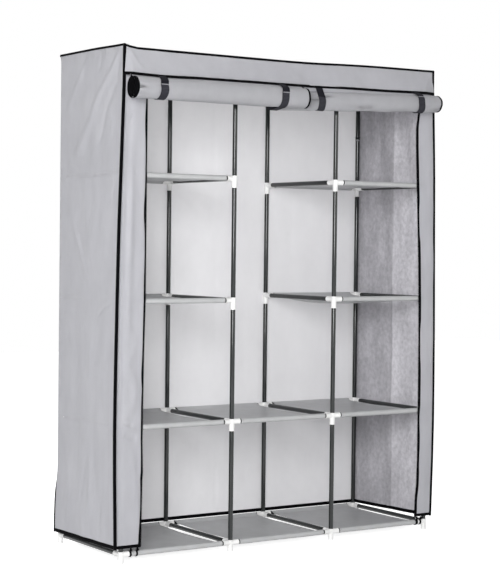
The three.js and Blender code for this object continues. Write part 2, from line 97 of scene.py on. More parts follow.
LINE_NAMES = ["left_outer", "left_inner", "right_inner", "right_outer"]
BAY_NAMES = ["left", "middle", "right"]
SIDES = ((-1, "left"), (1, "right"))
DEPTHS = ((-1, "front"), (1, "rear"))
BODY = "wardrobe"
X, Y, Z = Vector((1, 0, 0)), Vector((0, 1, 0)), Vector((0, 0, 1))
AXIS = 1e-6  # a radius that stands for the axis of a turned solid
TURNED_SIDES = 32
SOFT_EDGE = 38  # degrees between faces above which an edge is sharp


# Camera: at the photograph's viewing angle, fitted to the frame's crossings
FOCAL_PIXELS, PICTURE_PIXELS, SENSOR = 1608, 566, 36
CAMERA_PLACE = (-3.198, -4.757, 1.042)
CAMERA_TURNS = ((-33.9, "Z"), (-1.37, "X"), (-0.68, "Y"), (90, "X"))


def make_camera():
    data = bpy.data.cameras.new("camera")
    data.sensor_width = SENSOR
    data.lens = SENSOR * FOCAL_PIXELS / PICTURE_PIXELS
    camera = linked(bpy.data.objects.new("camera", data))
    x, y, z = CAMERA_PLACE
    turn = Matrix.Translation((x, y + SHIFT_Y, z))
    for degrees, axis in CAMERA_TURNS:
        turn = turn @ Matrix.Rotation(math.radians(degrees), 4, axis)
    camera.matrix_world = turn
    bpy.context.scene.camera = camera


# Small mathematics
def mix(a, b, share):
    return a + (b - a) * share


def smooth(value, low, high):
    share = np.clip((value - low) / (high - low), 0, 1)
    return share * share * (3 - 2 * share)


def stacked(*parts):
    """Points, or places on the flat cloth, from their coordinates: arrays or numbers."""
    return np.stack(np.broadcast_arrays(*parts), axis=-1)


def way_along(points):
    """The distance walked along a line of points, at each of them."""
    return np.concatenate([[0], np.cumsum(np.linalg.norm(np.diff(points, axis=0), axis=1))])


def wave(share, count):
    return (1 - np.cos(2 * np.pi * count * share)) / 2


def height_share(z):
    return (z - HEM) / (PANEL_TOP - HEM)


def mid_lift(z):
    return np.sin(np.pi * np.clip(height_share(z), 0, 1))


def billow(z):
    """The cloth lies closest to the frame where a rail is behind it."""
    return np.abs(np.sin(np.pi * (z - FOOT) / TIER))


def drift(a, b, size, seed, count=16):
    """A smooth random field of about -1 to 1 over two coordinates, whose features have that size."""
    draw = np.random.default_rng(seed)
    total = np.zeros(np.broadcast(a, b).shape)
    for _ in range(count):
        angle, phase = draw.uniform(0, 2 * np.pi, 2)
        pitch = 2 * np.pi / (size * draw.uniform(1.2, 3.2))
        total += np.sin(pitch * (a * np.cos(angle) + b * np.sin(angle)) + phase)
    return total / math.sqrt(count)


def ridge(a, b, path, width, height, taper, end_width):
    """A fold along a path in two coordinates, its width and height in mm. taper is the share that fades at an end."""
    path = np.array(path, float)
    lengths = np.linalg.norm(np.diff(path, axis=0), axis=1)
    nearest = np.full(np.broadcast(a, b).shape, 1e9)
    place = np.zeros_like(nearest)
    passed = 0.0
    for start, end, length in zip(path[:-1], path[1:], lengths):
        step = (end - start) / length
        along = np.clip((a - start[0]) * step[0] + (b - start[1]) * step[1], 0, length)
        distance = np.hypot(a - start[0] - along * step[0], b - start[1] - along * step[1])
        closer = distance < nearest
        nearest = np.where(closer, distance, nearest)
        place = np.where(closer, (passed + along) / lengths.sum(), place)
        passed += length
    widths = mix(width * MM, end_width * MM, place)
    fade = smooth(place, -0.02, taper) * smooth(1 - place, -0.02, taper)
    return height * MM * np.exp(-((nearest / widths) ** 2)) * fade


def folds(a, b, lines):
    return sum(ridge(a, b, *line) for line in lines)


# How the cover's edges wander, as rows of (height in metres, millimetres): its front corners out to the side
# and forward, its rear corners out to the side, and the opening's edges to the right
CORNER_BULGE = {
    -1: [(0.048, 16.5), (0.18, 18.5), (0.28, 20.5), (0.42, 22), (0.54, 21.5), (0.65, 20.5), (0.79, 18.5),
         (0.89, 17.3), (1, 15.5), (1.084, 14), (1.148, 12.3), (1.212, 10.3), (1.277, 8.5), (1.341, 6.6),
         (1.405, 4.8), (1.47, 2.8), (1.56, 0.5), (1.686, 0)],
    1: [(0.048, 15.5), (0.107, 17), (0.255, 21), (0.4, 23), (0.55, 22.5), (0.7, 21), (0.846, 19), (0.993, 16.4),
        (1.14, 14.2), (1.287, 12), (1.397, 8.8), (1.506, 5), (1.58, 2.5), (1.62, 0), (1.686, 0)],
}
CORNER_FORWARD = {
    -1: [(0.048, 5), (0.12, 9), (0.3, 12), (0.8, 11), (1.2, 8), (1.45, 4), (1.56, 0), (1.686, 0)],
    1: [(0.048, 0), (1.686, 0)],
}
REAR_BULGE = {
    -1: [(0.048, 8), (0.1, 7.5), (0.16, 5.5), (0.21, 1.5), (0.3, 0), (1.686, 0)],
    1: [(0.048, 3), (0.3, 1), (1.686, 0)],
}
OPENING_WANDER = {
    -1: [(0.048, -8), (0.2, -5.8), (0.275, -5), (0.295, -3.2), (0.4, -6), (0.53, -5.1), (0.69, -3.2),
         (0.86, 0.6), (1.2, 0.5), (1.345, 0.2), (1.51, 1), (1.5956, 0)],
    1: [(0.048, -3), (0.113, -2), (0.17, 4), (0.26, 7), (0.41, 6.8), (0.55, 6.4), (0.7, 5.6), (0.847, 3),
        (0.993, -1), (1.139, -7), (1.284, -14), (1.393, -18.5), (1.47, -20), (1.56, -7), (1.5956, 0)],
}
# How far edges hang above or below the part's own, as rows of (place along them in metres, millimetres)
SIDE_HEM = {-1: [(-0.224, 3), (0.224, -7)], 1: [(-0.224, 3), (-0.17, -4), (0.224, -9)]}
BACK_HEM = [(-0.649, -7), (-0.45, -8.5), (0.649, -9)]
STRIP_HEM = {-1: 3 * MM, 1: 4 * MM}
TOP_EDGE = [(-0.6488, -3), (-0.63, -8), (-0.6, -12), (-0.486, -12.5), (-0.04, -12.5), (0.06, -11.5), (0.13, -10),
            (0.22, -7), (0.306, -4.6), (0.4, -3), (0.489, -2.3), (0.6, -1.6), (0.6488, -1)]
LOWER_EDGE = [(-0.6488, -11), (-0.614, -13.5), (-0.54, -16.5), (-0.46, -15.5), (-0.388, -13.6), (-0.141, -12.6),
              (0.016, -12.2), (0.1, -9.5), (0.196, -7), (0.388, -5.8), (0.5, -3), (0.59, 0), (0.6488, 0.5)]
REAR_TOP_EDGE = [(-0.6488, 0), (-0.57, -8), (0.57, -8), (0.6488, 0)]
SIDE_DIP = {-1: -3, 1: -1}
CORNER_SLANT = 0.67  # how far a front corner goes out to the side for each metre that it comes forward
HEM_REACH = 0.12
# The rear left corner is rounded over its post, and its binding lies round the back
CORNER_ROUND, ROUND_REACH = 2.6 * MM, 9 * MM


def table(rows, value):
    """A value read off rows of (place, millimetres), in metres."""
    places, amounts = zip(*rows)
    return np.interp(value, places, amounts) * MM


def front_forward(side, z):
    return table(CORNER_FORWARD[side], z)


def front_bulge(side, z):
    return table(CORNER_BULGE[side], z) + CORNER_SLANT * front_forward(side, z)


def rear_bulge(side, z):
    return table(REAR_BULGE[side], z)


def opening_edge(side, z):
    return side * (EDGE_X - STRIP_WIDTH[side]) + table(OPENING_WANDER[side], z)


def let_down(z):
    """1 at the hem, 0 above it: where the cloth follows its hem."""
    return 1 - smooth(z, HEM, HEM + HEM_REACH)


def top_dip(x):
    return table(TOP_EDGE, x)


def side_top(side, y):
    """How far a side panel's top edge sinks towards the front corner."""
    return SIDE_DIP[side] * MM * smooth(-y, 0, EDGE_Y)


def lower_edge(x):
    return SEAM + table(LOWER_EDGE, x)


def rounding(side, y, z):
    reach = np.clip((y - EDGE_Y + ROUND_REACH) / ROUND_REACH, 0, 1)
    return CORNER_ROUND * reach**2 * smooth(z, 0.19, 0.26) * smooth(PANEL_TOP - z, 0, 0.02) * (side < 0)


# Making pieces
def linked(item):
    bpy.context.scene.collection.objects.link(item)
    return item


def shade(mesh, angle=SOFT_EDGE):
    """Smooth shading, with sharp edges where two faces meet at more than that angle."""
    work = bmesh.new()
    work.from_mesh(mesh)
    for face in work.faces:
        face.smooth = True
    for edge in work.edges:
        if len(edge.link_faces) == 2:
            edge.smooth = edge.calc_face_angle() < math.radians(angle)
    work.to_mesh(mesh)
    work.free()


def new_mesh(name, points, faces, layout=None, angle=SOFT_EDGE):
    """layout gives each point's place on the flat cloth, in metres."""
    mesh = bpy.data.meshes.new(name)
    mesh.from_pydata([tuple(point) for point in points], [], [tuple(face) for face in faces])
    if layout is not None:
        layer = mesh.uv_layers.new(name="cloth")
        corners = np.zeros(len(mesh.loops), dtype=np.int32)
        mesh.loops.foreach_get("vertex_index", corners)
        layer.data.foreach_set("uv", np.asarray(layout, float)[corners].astype(np.float32).ravel())
    mesh.update()
    shade(mesh, angle)
    return mesh


def new_object(name, mesh, materials=(), body=BODY, slot=None, replaces=(), at=(0, 0, 0), turn=Matrix()):
    """A piece at a place in the cover's frame, riding on a body."""
    piece = linked(bpy.data.objects.new(name, mesh))
    if not mesh.materials:
        for material in materials:
            mesh.materials.append(material)
    piece.matrix_world = Matrix.Translation((at[0], at[1] + SHIFT_Y, at[2])) @ turn
    if body:
        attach(piece, body)
    if replaces:
        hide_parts(*replaces)
    return piece


def grid_faces(rows, columns, flip=False, wrap=False):
    index = np.arange(rows * columns).reshape(rows, columns)
    if wrap:
        index = np.concatenate([index, index[:, :1]], axis=1)
    quads = [index[:-1, :-1], index[:-1, 1:], index[1:, 1:], index[1:, :-1]]
    return np.stack(quads[::-1] if flip else quads, axis=-1).reshape(-1, 4)


def sheet_piece(name, points, layout, materials, thickness=CLOTH, flip=False, offset=-1, **facts):
    """Cloth on a grid of points. Its own faces are the outer ones, and the second material is the inner."""
    faces = grid_faces(*points.shape[:2], flip)
    mesh = new_mesh(name, points.reshape(-1, 3), faces, layout.reshape(-1, 2), angle=80)
    piece = new_object(name, mesh, materials, **facts)
    cloth = piece.modifiers.new("thickness", "SOLIDIFY")
    cloth.thickness, cloth.offset, cloth.use_even_offset = thickness, offset, False
    if len(materials) > 1:
        cloth.material_offset = 1
    return piece


def swept(name, path, section, side, up, material, closed=False, angle=60, **facts):
    """A closed section drawn along a path. It and its axes, side and up, are one for all or one a point."""
    path, section = np.asarray(path, float), np.asarray(section, float)
    rows = section if section.ndim == 3 else section[None]
    side = np.broadcast_to(np.asarray(side, float), path.shape)[:, None, :]
    up = np.broadcast_to(np.asarray(up, float), path.shape)[:, None, :]
    rings = path[:, None, :] + rows[..., :1] * side + rows[..., 1:] * up
    count, ring = rings.shape[:2]
    last = (count - 1) * ring
    faces = [tuple(face) for face in grid_faces(count, ring, wrap=True)]
    if closed:
        faces += [(last + k, last + (k + 1) % ring, (k + 1) % ring, k) for k in range(ring)]
    else:
        faces += [tuple(range(ring))[::-1], tuple(last + k for k in range(ring))]
    layout = stacked(*np.meshgrid(way_along(rows[0]), way_along(path))).reshape(-1, 2)
    mesh = new_mesh(name, rings.reshape(-1, 3), faces, layout, angle)
    work = bmesh.new()
    work.from_mesh(mesh)
    bmesh.ops.recalc_face_normals(work, faces=work.faces)
    work.to_mesh(mesh)
    work.free()
    return new_object(name, mesh, [material], **facts)


def taped(name, path, section, side, up, **facts):
    """A length of the black tape that binds the cloth's edges."""
    return swept(name, path, section, side, up, binding_cloth, slot="binding", **facts)


def combine(name, solids, operation="UNION"):
    """The first solid with the others joined to it or cut from it, as a mesh."""
    first = solids[0]
    for other in solids[1:]:
        cut = first.modifiers.new("join", "BOOLEAN")
        cut.operation, cut.solver, cut.object = operation, "MANIFOLD", other
    mesh = bpy.data.meshes.new_from_object(first.evaluated_get(bpy.context.evaluated_depsgraph_get()))
    mesh.name = name
    for solid in solids:
        bpy.data.objects.remove(solid)
    return mesh


def scratch(mesh):
    return linked(bpy.data.objects.new("scratch", mesh))


def revolved(name, profile, axis, start=(0, 0, 0), ring=False, angle=SOFT_EDGE):
    """A mesh from (radius, height) pairs. They run from axis to axis, or round a tube's wall and back."""
    to_axis = Z.rotation_difference(Vector(axis)).to_matrix()
    points, faces = [], []
    for radius, height in profile:
        for k in range(TURNED_SIDES):
            turn = 2 * math.pi * k / TURNED_SIDES
            point = Vector((radius * math.cos(turn), radius * math.sin(turn), height))
            points.append(to_axis @ point + Vector(start))
    for row in range(len(profile) - (not ring)):
        low, high = row * TURNED_SIDES, (row + 1) % len(profile) * TURNED_SIDES
        for k in range(TURNED_SIDES):
            n = (k + 1) % TURNED_SIDES
            faces.append((low + k, low + n, high + n, high + k))
    if not ring:
        last = (len(profile) - 1) * TURNED_SIDES
        faces += [tuple(range(TURNED_SIDES))[::-1], tuple(range(last, last + TURNED_SIDES))]
    return new_mesh(name, points, faces, angle=angle)


def turned(profile, axis=Z, start=(0, 0, 0)):
    return scratch(revolved("turned", profile, axis, start))


def plug(low, high, radius=SOCKET_RADIUS):
    """The profile of a plain round hole."""
    return [(AXIS, low), (radius, low), (radius, high), (AXIS, high)]


def moulded(name, solids, cuts):
    """White plastic: the solids joined to each other, less the cuts."""
    mesh = combine(name, [scratch(combine("whole", solids)), *cuts], "DIFFERENCE")
    shade(mesh, 32)
    mesh.materials.clear()
    mesh.materials.append(white_plastic)
    return mesh


# Materials
def linear(red, green, blue):
    """A colour as it is read off a picture, from 0 to 255, for a shader."""
    parts = [value / 255 for value in (red, green, blue)]
    return tuple(p / 12.92 if p <= 0.04045 else ((p + 0.055) / 1.055) ** 2.4 for p in parts) + (1,)


def grey(tone):
    return (tone, tone, tone, 1)


class Tree:
    """The nodes of a material or world. Each method adds one and returns the socket that it ends in."""

    def __init__(self, owner, shader="Principled BSDF", **inputs):
        owner.use_nodes = True
        self.owner, self.nodes, self.links = owner, owner.node_tree.nodes, owner.node_tree.links
        self.shader = self.nodes[shader]
        self.feed(self.shader, inputs)

    def feed(self, node, inputs):
        """Sets a node's inputs, to values or to the sockets that feed them."""
        for key, value in inputs.items():
            if isinstance(value, bpy.types.NodeSocket):
                self.links.new(value, node.inputs[key])
            else:
                node.inputs[key].default_value = value

    def add(self, kind, output, inputs, **settings):
        node = self.nodes.new(f"ShaderNode{kind}")
        for key, value in settings.items():
            setattr(node, key, value)
        self.feed(node, inputs)
        return node.outputs[output]

    def place(self, source="Object", scale=(1, 1, 1)):
        start = self.add("TexCoord", source, {})
        return self.add("Mapping", "Vector", {"Scale": scale, "Vector": start})

    def noise(self, vector, scale, detail=3.0, roughness=0.55):
        inputs = {"Scale": scale, "Detail": detail, "Roughness": roughness, "Vector": vector}
        return self.add("TexNoise", "Fac", inputs)

    def ramp(self, factor, first, last):
        """A colour between two stops, each of them (position, colour)."""
        band = self.nodes.new("ShaderNodeValToRGB")
        for element, (position, colour) in zip(band.color_ramp.elements, (first, last)):
            element.position, element.color = position, colour
        self.feed(band, {"Fac": factor})
        return band.outputs["Color"]

    def times(self, first, second):
        inputs = {"Factor": 1.0, "A": first, "B": second}
        return self.add("Mix", "Result", inputs, data_type="RGBA", blend_type="MULTIPLY")

    def spread(self, value, **ends):
        """A value mapped from one range to another."""
        names = {key.replace("_", " ").title(): end for key, end in ends.items()}
        return self.add("MapRange", "Result", {**names, "Value": value})

    def bump(self, height, strength, distance, **under):
        inputs = {"Strength": strength, "Distance": distance, "Height": height, **under}
        normal = self.add("Bump", "Normal", inputs)
        self.feed(self.shader, {"Normal": normal})
        return normal

    def base(self, colour):
        self.feed(self.shader, {"Base Color": colour})

    def seen_directly(self):
        """1 for what the camera, a mirror or glass sees, 0 for the light that reaches other surfaces."""
        path = self.nodes.new("ShaderNodeLightPath")
        total = path.outputs["Is Camera Ray"]
        for other in ("Is Glossy Ray", "Is Transmission Ray"):
            total = self.add("Math", "Value", {0: total, 1: path.outputs[other]}, operation="MAXIMUM")
        return total


def new_material(name, roughness, specular, **inputs):
    facts = {"Roughness": roughness, "Specular IOR Level": specular, **inputs}
    return Tree(bpy.data.materials.new(name), **facts)


def emboss(tree, vector, pitch):
    """The small bonded dots of non-woven cloth."""
    inputs = {"Scale": 1 / pitch, "Randomness": 0.0, "Vector": vector}
    dots = tree.add("TexVoronoi", "Distance", inputs, voronoi_dimensions="2D")
    return tree.spread(dots, from_min=0.18, from_max=0.38)


def painted_crease_shade(tree, colour, place, width, tone):
    """Painted shade: cloth behind an upright crease is painted a little darker, as if shaded by the crease, and the
    crease wanders.
    """
    across = tree.add("SeparateXYZ", "Y", {"Vector": tree.place()})
    wander = tree.noise(tree.place(scale=(0, 0, 1)), 3, detail=1.0)
    shifted = tree.add("Math", "Value", {0: wander, 1: width * 2, 2: across}, operation="MULTIPLY_ADD")
    behind = tree.spread(shifted, from_min=place, from_max=place + width)
    patches = tree.noise(tree.place(scale=(1, 1, 0.35)), 11, detail=2.0)
    # painted shade: the colour times tone behind the crease
    shaded_behind_crease = tree.times(colour, tree.ramp(behind, (0.0, grey(1)), (1.0, grey(tone))))
    return tree.times(shaded_behind_crease, tree.ramp(patches, (0.35, grey(0.86)), (0.66, grey(1.16))))


def cloth_material(
    name, low, high, cloud, contrast, stretch, through=0.0, roughness=0.88, specular=0.2, dots=0.35, crease=None,
):
    """Spun non-woven cloth: cloudy fibres, bonded dots, and a fine hairy relief."""
    inner = {"Subsurface Weight": through, "Subsurface Radius": (1, 1, 1), "Subsurface Scale": 4 * MM}
    tree = new_material(name, roughness, specular, **inner)
    flat_place = tree.place("UV")
    clouds = tree.noise(tree.place(scale=stretch), cloud, detail=4.0, roughness=0.6)
    colour = tree.ramp(clouds, (0.5 - contrast, linear(*low)), (0.5 + contrast, linear(*high)))
    # crease paints shade behind an upright crease, as (place, width, tone)
    if crease:
        colour = painted_crease_shade(tree, colour, *crease)
    fibres = tree.noise(flat_place, 900, roughness=0.7)
    tree.base(tree.times(colour, tree.ramp(fibres, (0.25, grey(0.9)), (0.75, grey(1)))))
    relief = tree.bump(emboss(tree, flat_place, 1.7 * MM), dots, 0.0002)
    tree.bump(fibres, 0.25, 0.0002, Normal=relief)
    return tree.owner


def woven_material(name, dark, light, pitch, roughness, ribs, specular=0.15):
    """Webbing or tape: ribs across its length, with a finer weave in them."""
    tree = new_material(name, roughness, specular)
    flat_place = tree.place("UV")
    inputs = {"Scale": 1 / pitch / 20 * 2 * math.pi / 2, "Distortion": 0.4, "Vector": flat_place}
    rib = tree.add("TexWave", "Fac", inputs, bands_direction="Y")
    speckle = tree.noise(flat_place, 700, detail=2.0)
    colour = tree.ramp(rib, (0.2, linear(*dark)), (0.9, linear(*light)))
    tree.base(tree.times(colour, tree.ramp(speckle, (0.3, grey(0.75)), (0.7, grey(1)))))
    tree.bump(rib, ribs, 0.0004)
    return tree.owner


def steel_material():
    """Thin-walled tube with a dark glossy coat: slight orange peel, faint scuffs and dust."""
    tree = new_material("steel", 0.16, 0.55)
    place = tree.place()
    tree.base(tree.ramp(tree.noise(place, 9, detail=4.0), (0.3, linear(14, 18, 19)), (0.7, linear(24, 30, 30))))
    scuffs = tree.noise(tree.place(scale=(1, 1, 0.2)), 160)
    tree.feed(tree.shader, {"Roughness": tree.spread(scuffs, to_min=0.1, to_max=0.24)})
    tree.bump(tree.noise(place, 420, detail=2.0), 0.06, 0.0002)
    return tree.owner


def plastic_material():
    """Moulded white plastic: fine grain and slight yellowing in patches."""
    tree = new_material("white_plastic", 0.42, 0.5)
    place = tree.place()
    tree.base(tree.ramp(tree.noise(place, 40), (0.3, linear(246, 246, 245)), (0.7, linear(253, 253, 252))))
    tree.bump(tree.noise(place, 1500, detail=2.0), 0.12, 0.0001)
    return tree.owner


def metal_material():
    """Die-cast zip metal with a dark finish, rubbed brighter in places."""
    tree = new_material("zip_metal", 0.35, 0.5, Metallic=0.9)
    wear = tree.noise(tree.place(), 240, detail=5.0)
    tree.base(tree.ramp(wear, (0.35, linear(58, 58, 62)), (0.75, linear(120, 120, 124))))
    tree.bump(wear, 0.15, 0.0001)
    return tree.owner


# The cloth is the same on both faces. The inner faces are painted paler, as painted light for light coming through
# the thin cloth; the subsurface carries part of that for real.
cloth_out = cloth_material("cloth_outside", (188, 188, 194), (199, 199, 205), 14, 0.28, (1, 1, 0.45), 0.8)
cloth_in = cloth_material("cloth_inside", (226, 225, 229), (237, 236, 240), 9, 0.3, (1, 1, 0.6), 0.8)
# The right side panel's inside is a shaded copy of the inside cloth: painted darker, as painted shade where less
# light reaches it, with painted shade behind its upright crease.
cloth_in_right_shaded = cloth_material(
    "cloth_inside_right_shaded", (192, 190, 196), (230, 228, 234), 70, 0.24, (1, 1, 0.9), 0.3, crease=(0.004, 0.006, 0.74),
)
shelf_cloth = cloth_material(
    "shelf_cloth", (186, 187, 188), (200, 201, 202), 22, 0.3, (1, 1, 1), roughness=0.42, specular=0.5, dots=0.15,
)
binding_cloth = woven_material("binding", (5, 5, 7), (12, 12, 15), 1.1 * MM, 0.9, 0.35, 0.05)
webbing = woven_material("webbing", (44, 44, 50), (68, 68, 75), 2.2 * MM, 0.8, 0.8)
tab_webbing = woven_material("tab_webbing", (20, 20, 26), (34, 34, 42), 1.2 * MM, 0.85, 0.4)
# Pale thread for the tabs' stitched edges, also used as a painted highlight on the rear right post's tie.
thread_and_highlight = woven_material("thread_and_highlight", (150, 150, 156), (176, 176, 182), 1 * MM, 0.8, 0.5)
steel, white_plastic, zip_metal = steel_material(), plastic_material(), metal_material()


# The frame: lengths of tube, plastic connectors, rails
ARM_BODY, ARM_COLLAR = 9.2 * MM, 9.6 * MM
TUBE_PLAY = 0.3 * MM
INSET_X, INSET_Y = ARM_X - SOCKET_DEPTH + TUBE_PLAY, ARM_Y - SOCKET_DEPTH + TUBE_PLAY
UPRIGHT_LOW, UPRIGHT_HIGH = -4 * MM, TIER - CONNECTOR_DROP + SOCKET_DEPTH


def tube_mesh(name, length, axis):
    """An open tube whose ends are drawn in a little, with the lip rolled round."""
    bore, drawn, swage = TUBE_RADIUS - TUBE_WALL, 0.2 * MM, 9 * MM
    end = [
        (bore - drawn, 0), (TUBE_RADIUS - 0.35 * MM, 0), (TUBE_RADIUS - drawn, 0.4 * MM),
        (TUBE_RADIUS - drawn, swage), (TUBE_RADIUS, swage + 1.2 * MM),
    ]
    outline = [
        *end, (TUBE_RADIUS, length / 2), *((radius, length - place) for radius, place in end[::-1]),
        (bore - drawn, length - swage), (bore, length / 2), (bore - drawn, swage),
    ]
    mesh = revolved(name, outline, axis, ring=True, angle=50)
    mesh.materials.append(steel)
    return mesh


def has_rail(bay, level):
    return bay in (0, 2) or (bay == 1 and (level < 2 or level == 4))


def connector_mesh(level, rail_left, rail_right):
    """A moulded connector, its inner arm pointing along +Y. Each socket ends in a collar."""
    lower = FOOT if level == 0 else CONNECTOR_DROP
    body, collar, mouth = ARM_BODY, ARM_COLLAR, CONNECTOR_RADIUS
    rise = TOP_RAIL_DROP if level == 4 and not (rail_left and rail_right) else 0
    upright = [
        (AXIS, -lower), (collar - 0.5 * MM, -lower), (collar, -lower + 0.5 * MM), (collar, -lower + 3.6 * MM),
        (body, -lower + 4.4 * MM), (body, rise + 5.5 * MM), (mouth, rise + 6.2 * MM), (mouth, rise + 8.9 * MM),
        (mouth - 0.6 * MM, rise + 9.5 * MM), (AXIS, rise + 9.5 * MM),
    ]
    sole = SOLE - lower if level == 0 else -lower - 1 * MM
    cap = 8 * MM if level == 4 else 12 * MM
    solids, cuts = [turned(upright)], [turned(plug(sole, cap))]
    for axis, reach in [(Y, ARM_Y)] + [(-X, ARM_X)] * rail_left + [(X, ARM_X)] * rail_right:
        arm = [
            (AXIS, 0), (body, 0), (body - 0.1 * MM, reach - 5 * MM), (collar - 0.1 * MM, reach - 4.2 * MM),
            (collar - 0.1 * MM, reach - 0.5 * MM), (collar - 0.6 * MM, reach), (AXIS, reach),
        ]
        solids.append(turned(arm, axis))
        cuts.append(turned(plug(reach - SOCKET_DEPTH, reach + 2 * MM), axis))
    return moulded(f"connector_{level}_{rail_left}_{rail_right}", solids, cuts)


def make_posts():
    meshes = {}
    upright = tube_mesh("upright", UPRIGHT_HIGH - UPRIGHT_LOW, Z)
    top_upright = tube_mesh("top_upright", UPRIGHT_HIGH - UPRIGHT_LOW - TOP_RAIL_DROP, Z)
    for line, line_name in enumerate(LINE_NAMES):
        for depth, end in DEPTHS:
            post, y = f"{line_name}_{end}", depth * BAY_DEPTH / 2
            turn = Matrix.Rotation(math.pi, 4, "Z") if depth > 0 else Matrix()
            for level, z in enumerate(LEVELS):
                rails = (has_rail(line - 1, level), has_rail(line, level))[::-depth]
                kind = (min(level, 1) if level < 4 else 4, *rails)
                if kind not in meshes:
                    meshes[kind] = connector_mesh(*kind)
                new_object(
                    f"connector_{post}_{level}", meshes[kind], slot="connector", replaces=[f"post_{post}"],
                    at=(LINES[line], y, z), turn=turn,
                )
            for level, z in enumerate(LEVELS[:4]):
                new_object(
                    f"upright_{post}_{level}", top_upright if level == 3 else upright, slot="frame_tube",
                    replaces=[f"post_{post}"], at=(LINES[line], y, z + UPRIGHT_LOW),
                )


def make_rails():
    along_y = tube_mesh("side_rail", BAY_DEPTH - 2 * INSET_Y, Y)
    along_x = tube_mesh("front_rail", BAY_WIDTH - 2 * INSET_X, X)
    for line, line_name in enumerate(LINE_NAMES):
        for level, z in enumerate(LEVELS):
            hung = line in (1, 2) and level == 4
            node = "hanging_rail" if hung else f"side_rail_{line_name}_{level}"
            name = f"top_side_rail_{line_name}" if hung else f"side_tube_{line_name}_{level}"
            new_object(name, along_y, slot="frame_tube", replaces=[node], at=(LINES[line], FRONT + INSET_Y, z))
    for bay, bay_name in enumerate(BAY_NAMES):
        for depth, end in DEPTHS:
            for level, z in enumerate(LEVELS):
                if has_rail(bay, level):
                    top = level == 4
                    node = f"top_rail_{bay_name}_{end}" if top else f"shelf_{bay_name}_{level}"
                    name = f"top_tube_{bay_name}_{end}" if top else f"shelf_tube_{bay_name}_{level}_{end}"
                    at = (LINES[bay] + INSET_X, depth * BAY_DEPTH / 2, z)
                    new_object(name, along_x, slot="frame_tube", replaces=[node], at=at)


def make_hanging_rail():
    whole = {"replaces": ["hanging_rail"]}
    for line, towards in ((1, X), (2, -X)):
        solids = []
        for axis, reach in ((Y, TEE_HALF), (-Y, TEE_HALF), (towards, ARM_X)):
            arm = [
                (AXIS, 0), (ARM_BODY, 0), (ARM_BODY, reach - 4 * MM), (ARM_COLLAR, reach - 3.4 * MM),
                (ARM_COLLAR, reach - 0.5 * MM), (ARM_COLLAR - 0.5 * MM, reach), (AXIS, reach),
            ]
            solids.append(turned(arm, axis))
        through = turned(plug(0, 2 * TEE_HALF + 4 * MM, 8.1 * MM), Y, -Y * (TEE_HALF + 2 * MM))
        mesh = moulded("tee", solids, [through, turned(plug(ARM_X - SOCKET_DEPTH, ARM_X + MM), towards)])
        name = f"hanging_tee_{LINE_NAMES[line]}"
        new_object(name, mesh, slot="connector", at=(LINES[line], 0, LEVELS[4]), **whole)
    rail = tube_mesh("hanging_tube", BAY_WIDTH - 2 * INSET_X, X)
    new_object("hanging_tube", rail, slot="frame_tube", at=(LINES[1] + INSET_X, 0, LEVELS[4]), **whole)


# Shelves: one cloth level with the middle of its two tubes, folded back round each to a seam
SHELF_BELLY = {(2, 2): 24 * MM, (0, 1): 8 * MM, (1, 1): 8 * MM}
SHELF_COLUMNS, SHELF_THICK = 61, 0.7 * MM
HEM_WIDTH, HEM_THICK, HEM_LIFT = 7 * MM, 1.1 * MM, 0.35 * MM


def shelf_profile():
    """(y, z) from the seam under the front sleeve, round the front tube, across and round the rear one."""
    sleeve = TUBE_RADIUS + 0.9 * MM
    arc = np.radians(np.linspace(-70, -290, 19))
    front = stacked(sleeve * np.cos(arc), sleeve * np.sin(arc))
    seam = np.array([[SLEEVE_DEPTH + 6 * MM, -1.1 * MM], [SLEEVE_DEPTH, -1 * MM], [SLEEVE_DEPTH * 0.5, -4.9 * MM]])
    slope = np.array([[SLEEVE_DEPTH * 0.4, 5.8 * MM], [SLEEVE_DEPTH * 0.7, 2.7 * MM], [SLEEVE_DEPTH, 0.5 * MM]])
    half = np.concatenate([seam, front, slope])
    across = mix(FRONT + SLEEVE_DEPTH, REAR - SLEEVE_DEPTH, np.linspace(0, 1, 30)[1:-1])
    rear_half = (half * [-1, 1] + [REAR, 0])[::-1]
    return np.concatenate([half + [FRONT, 0], stacked(across, CLOTH / 2), rear_half]), len(seam)


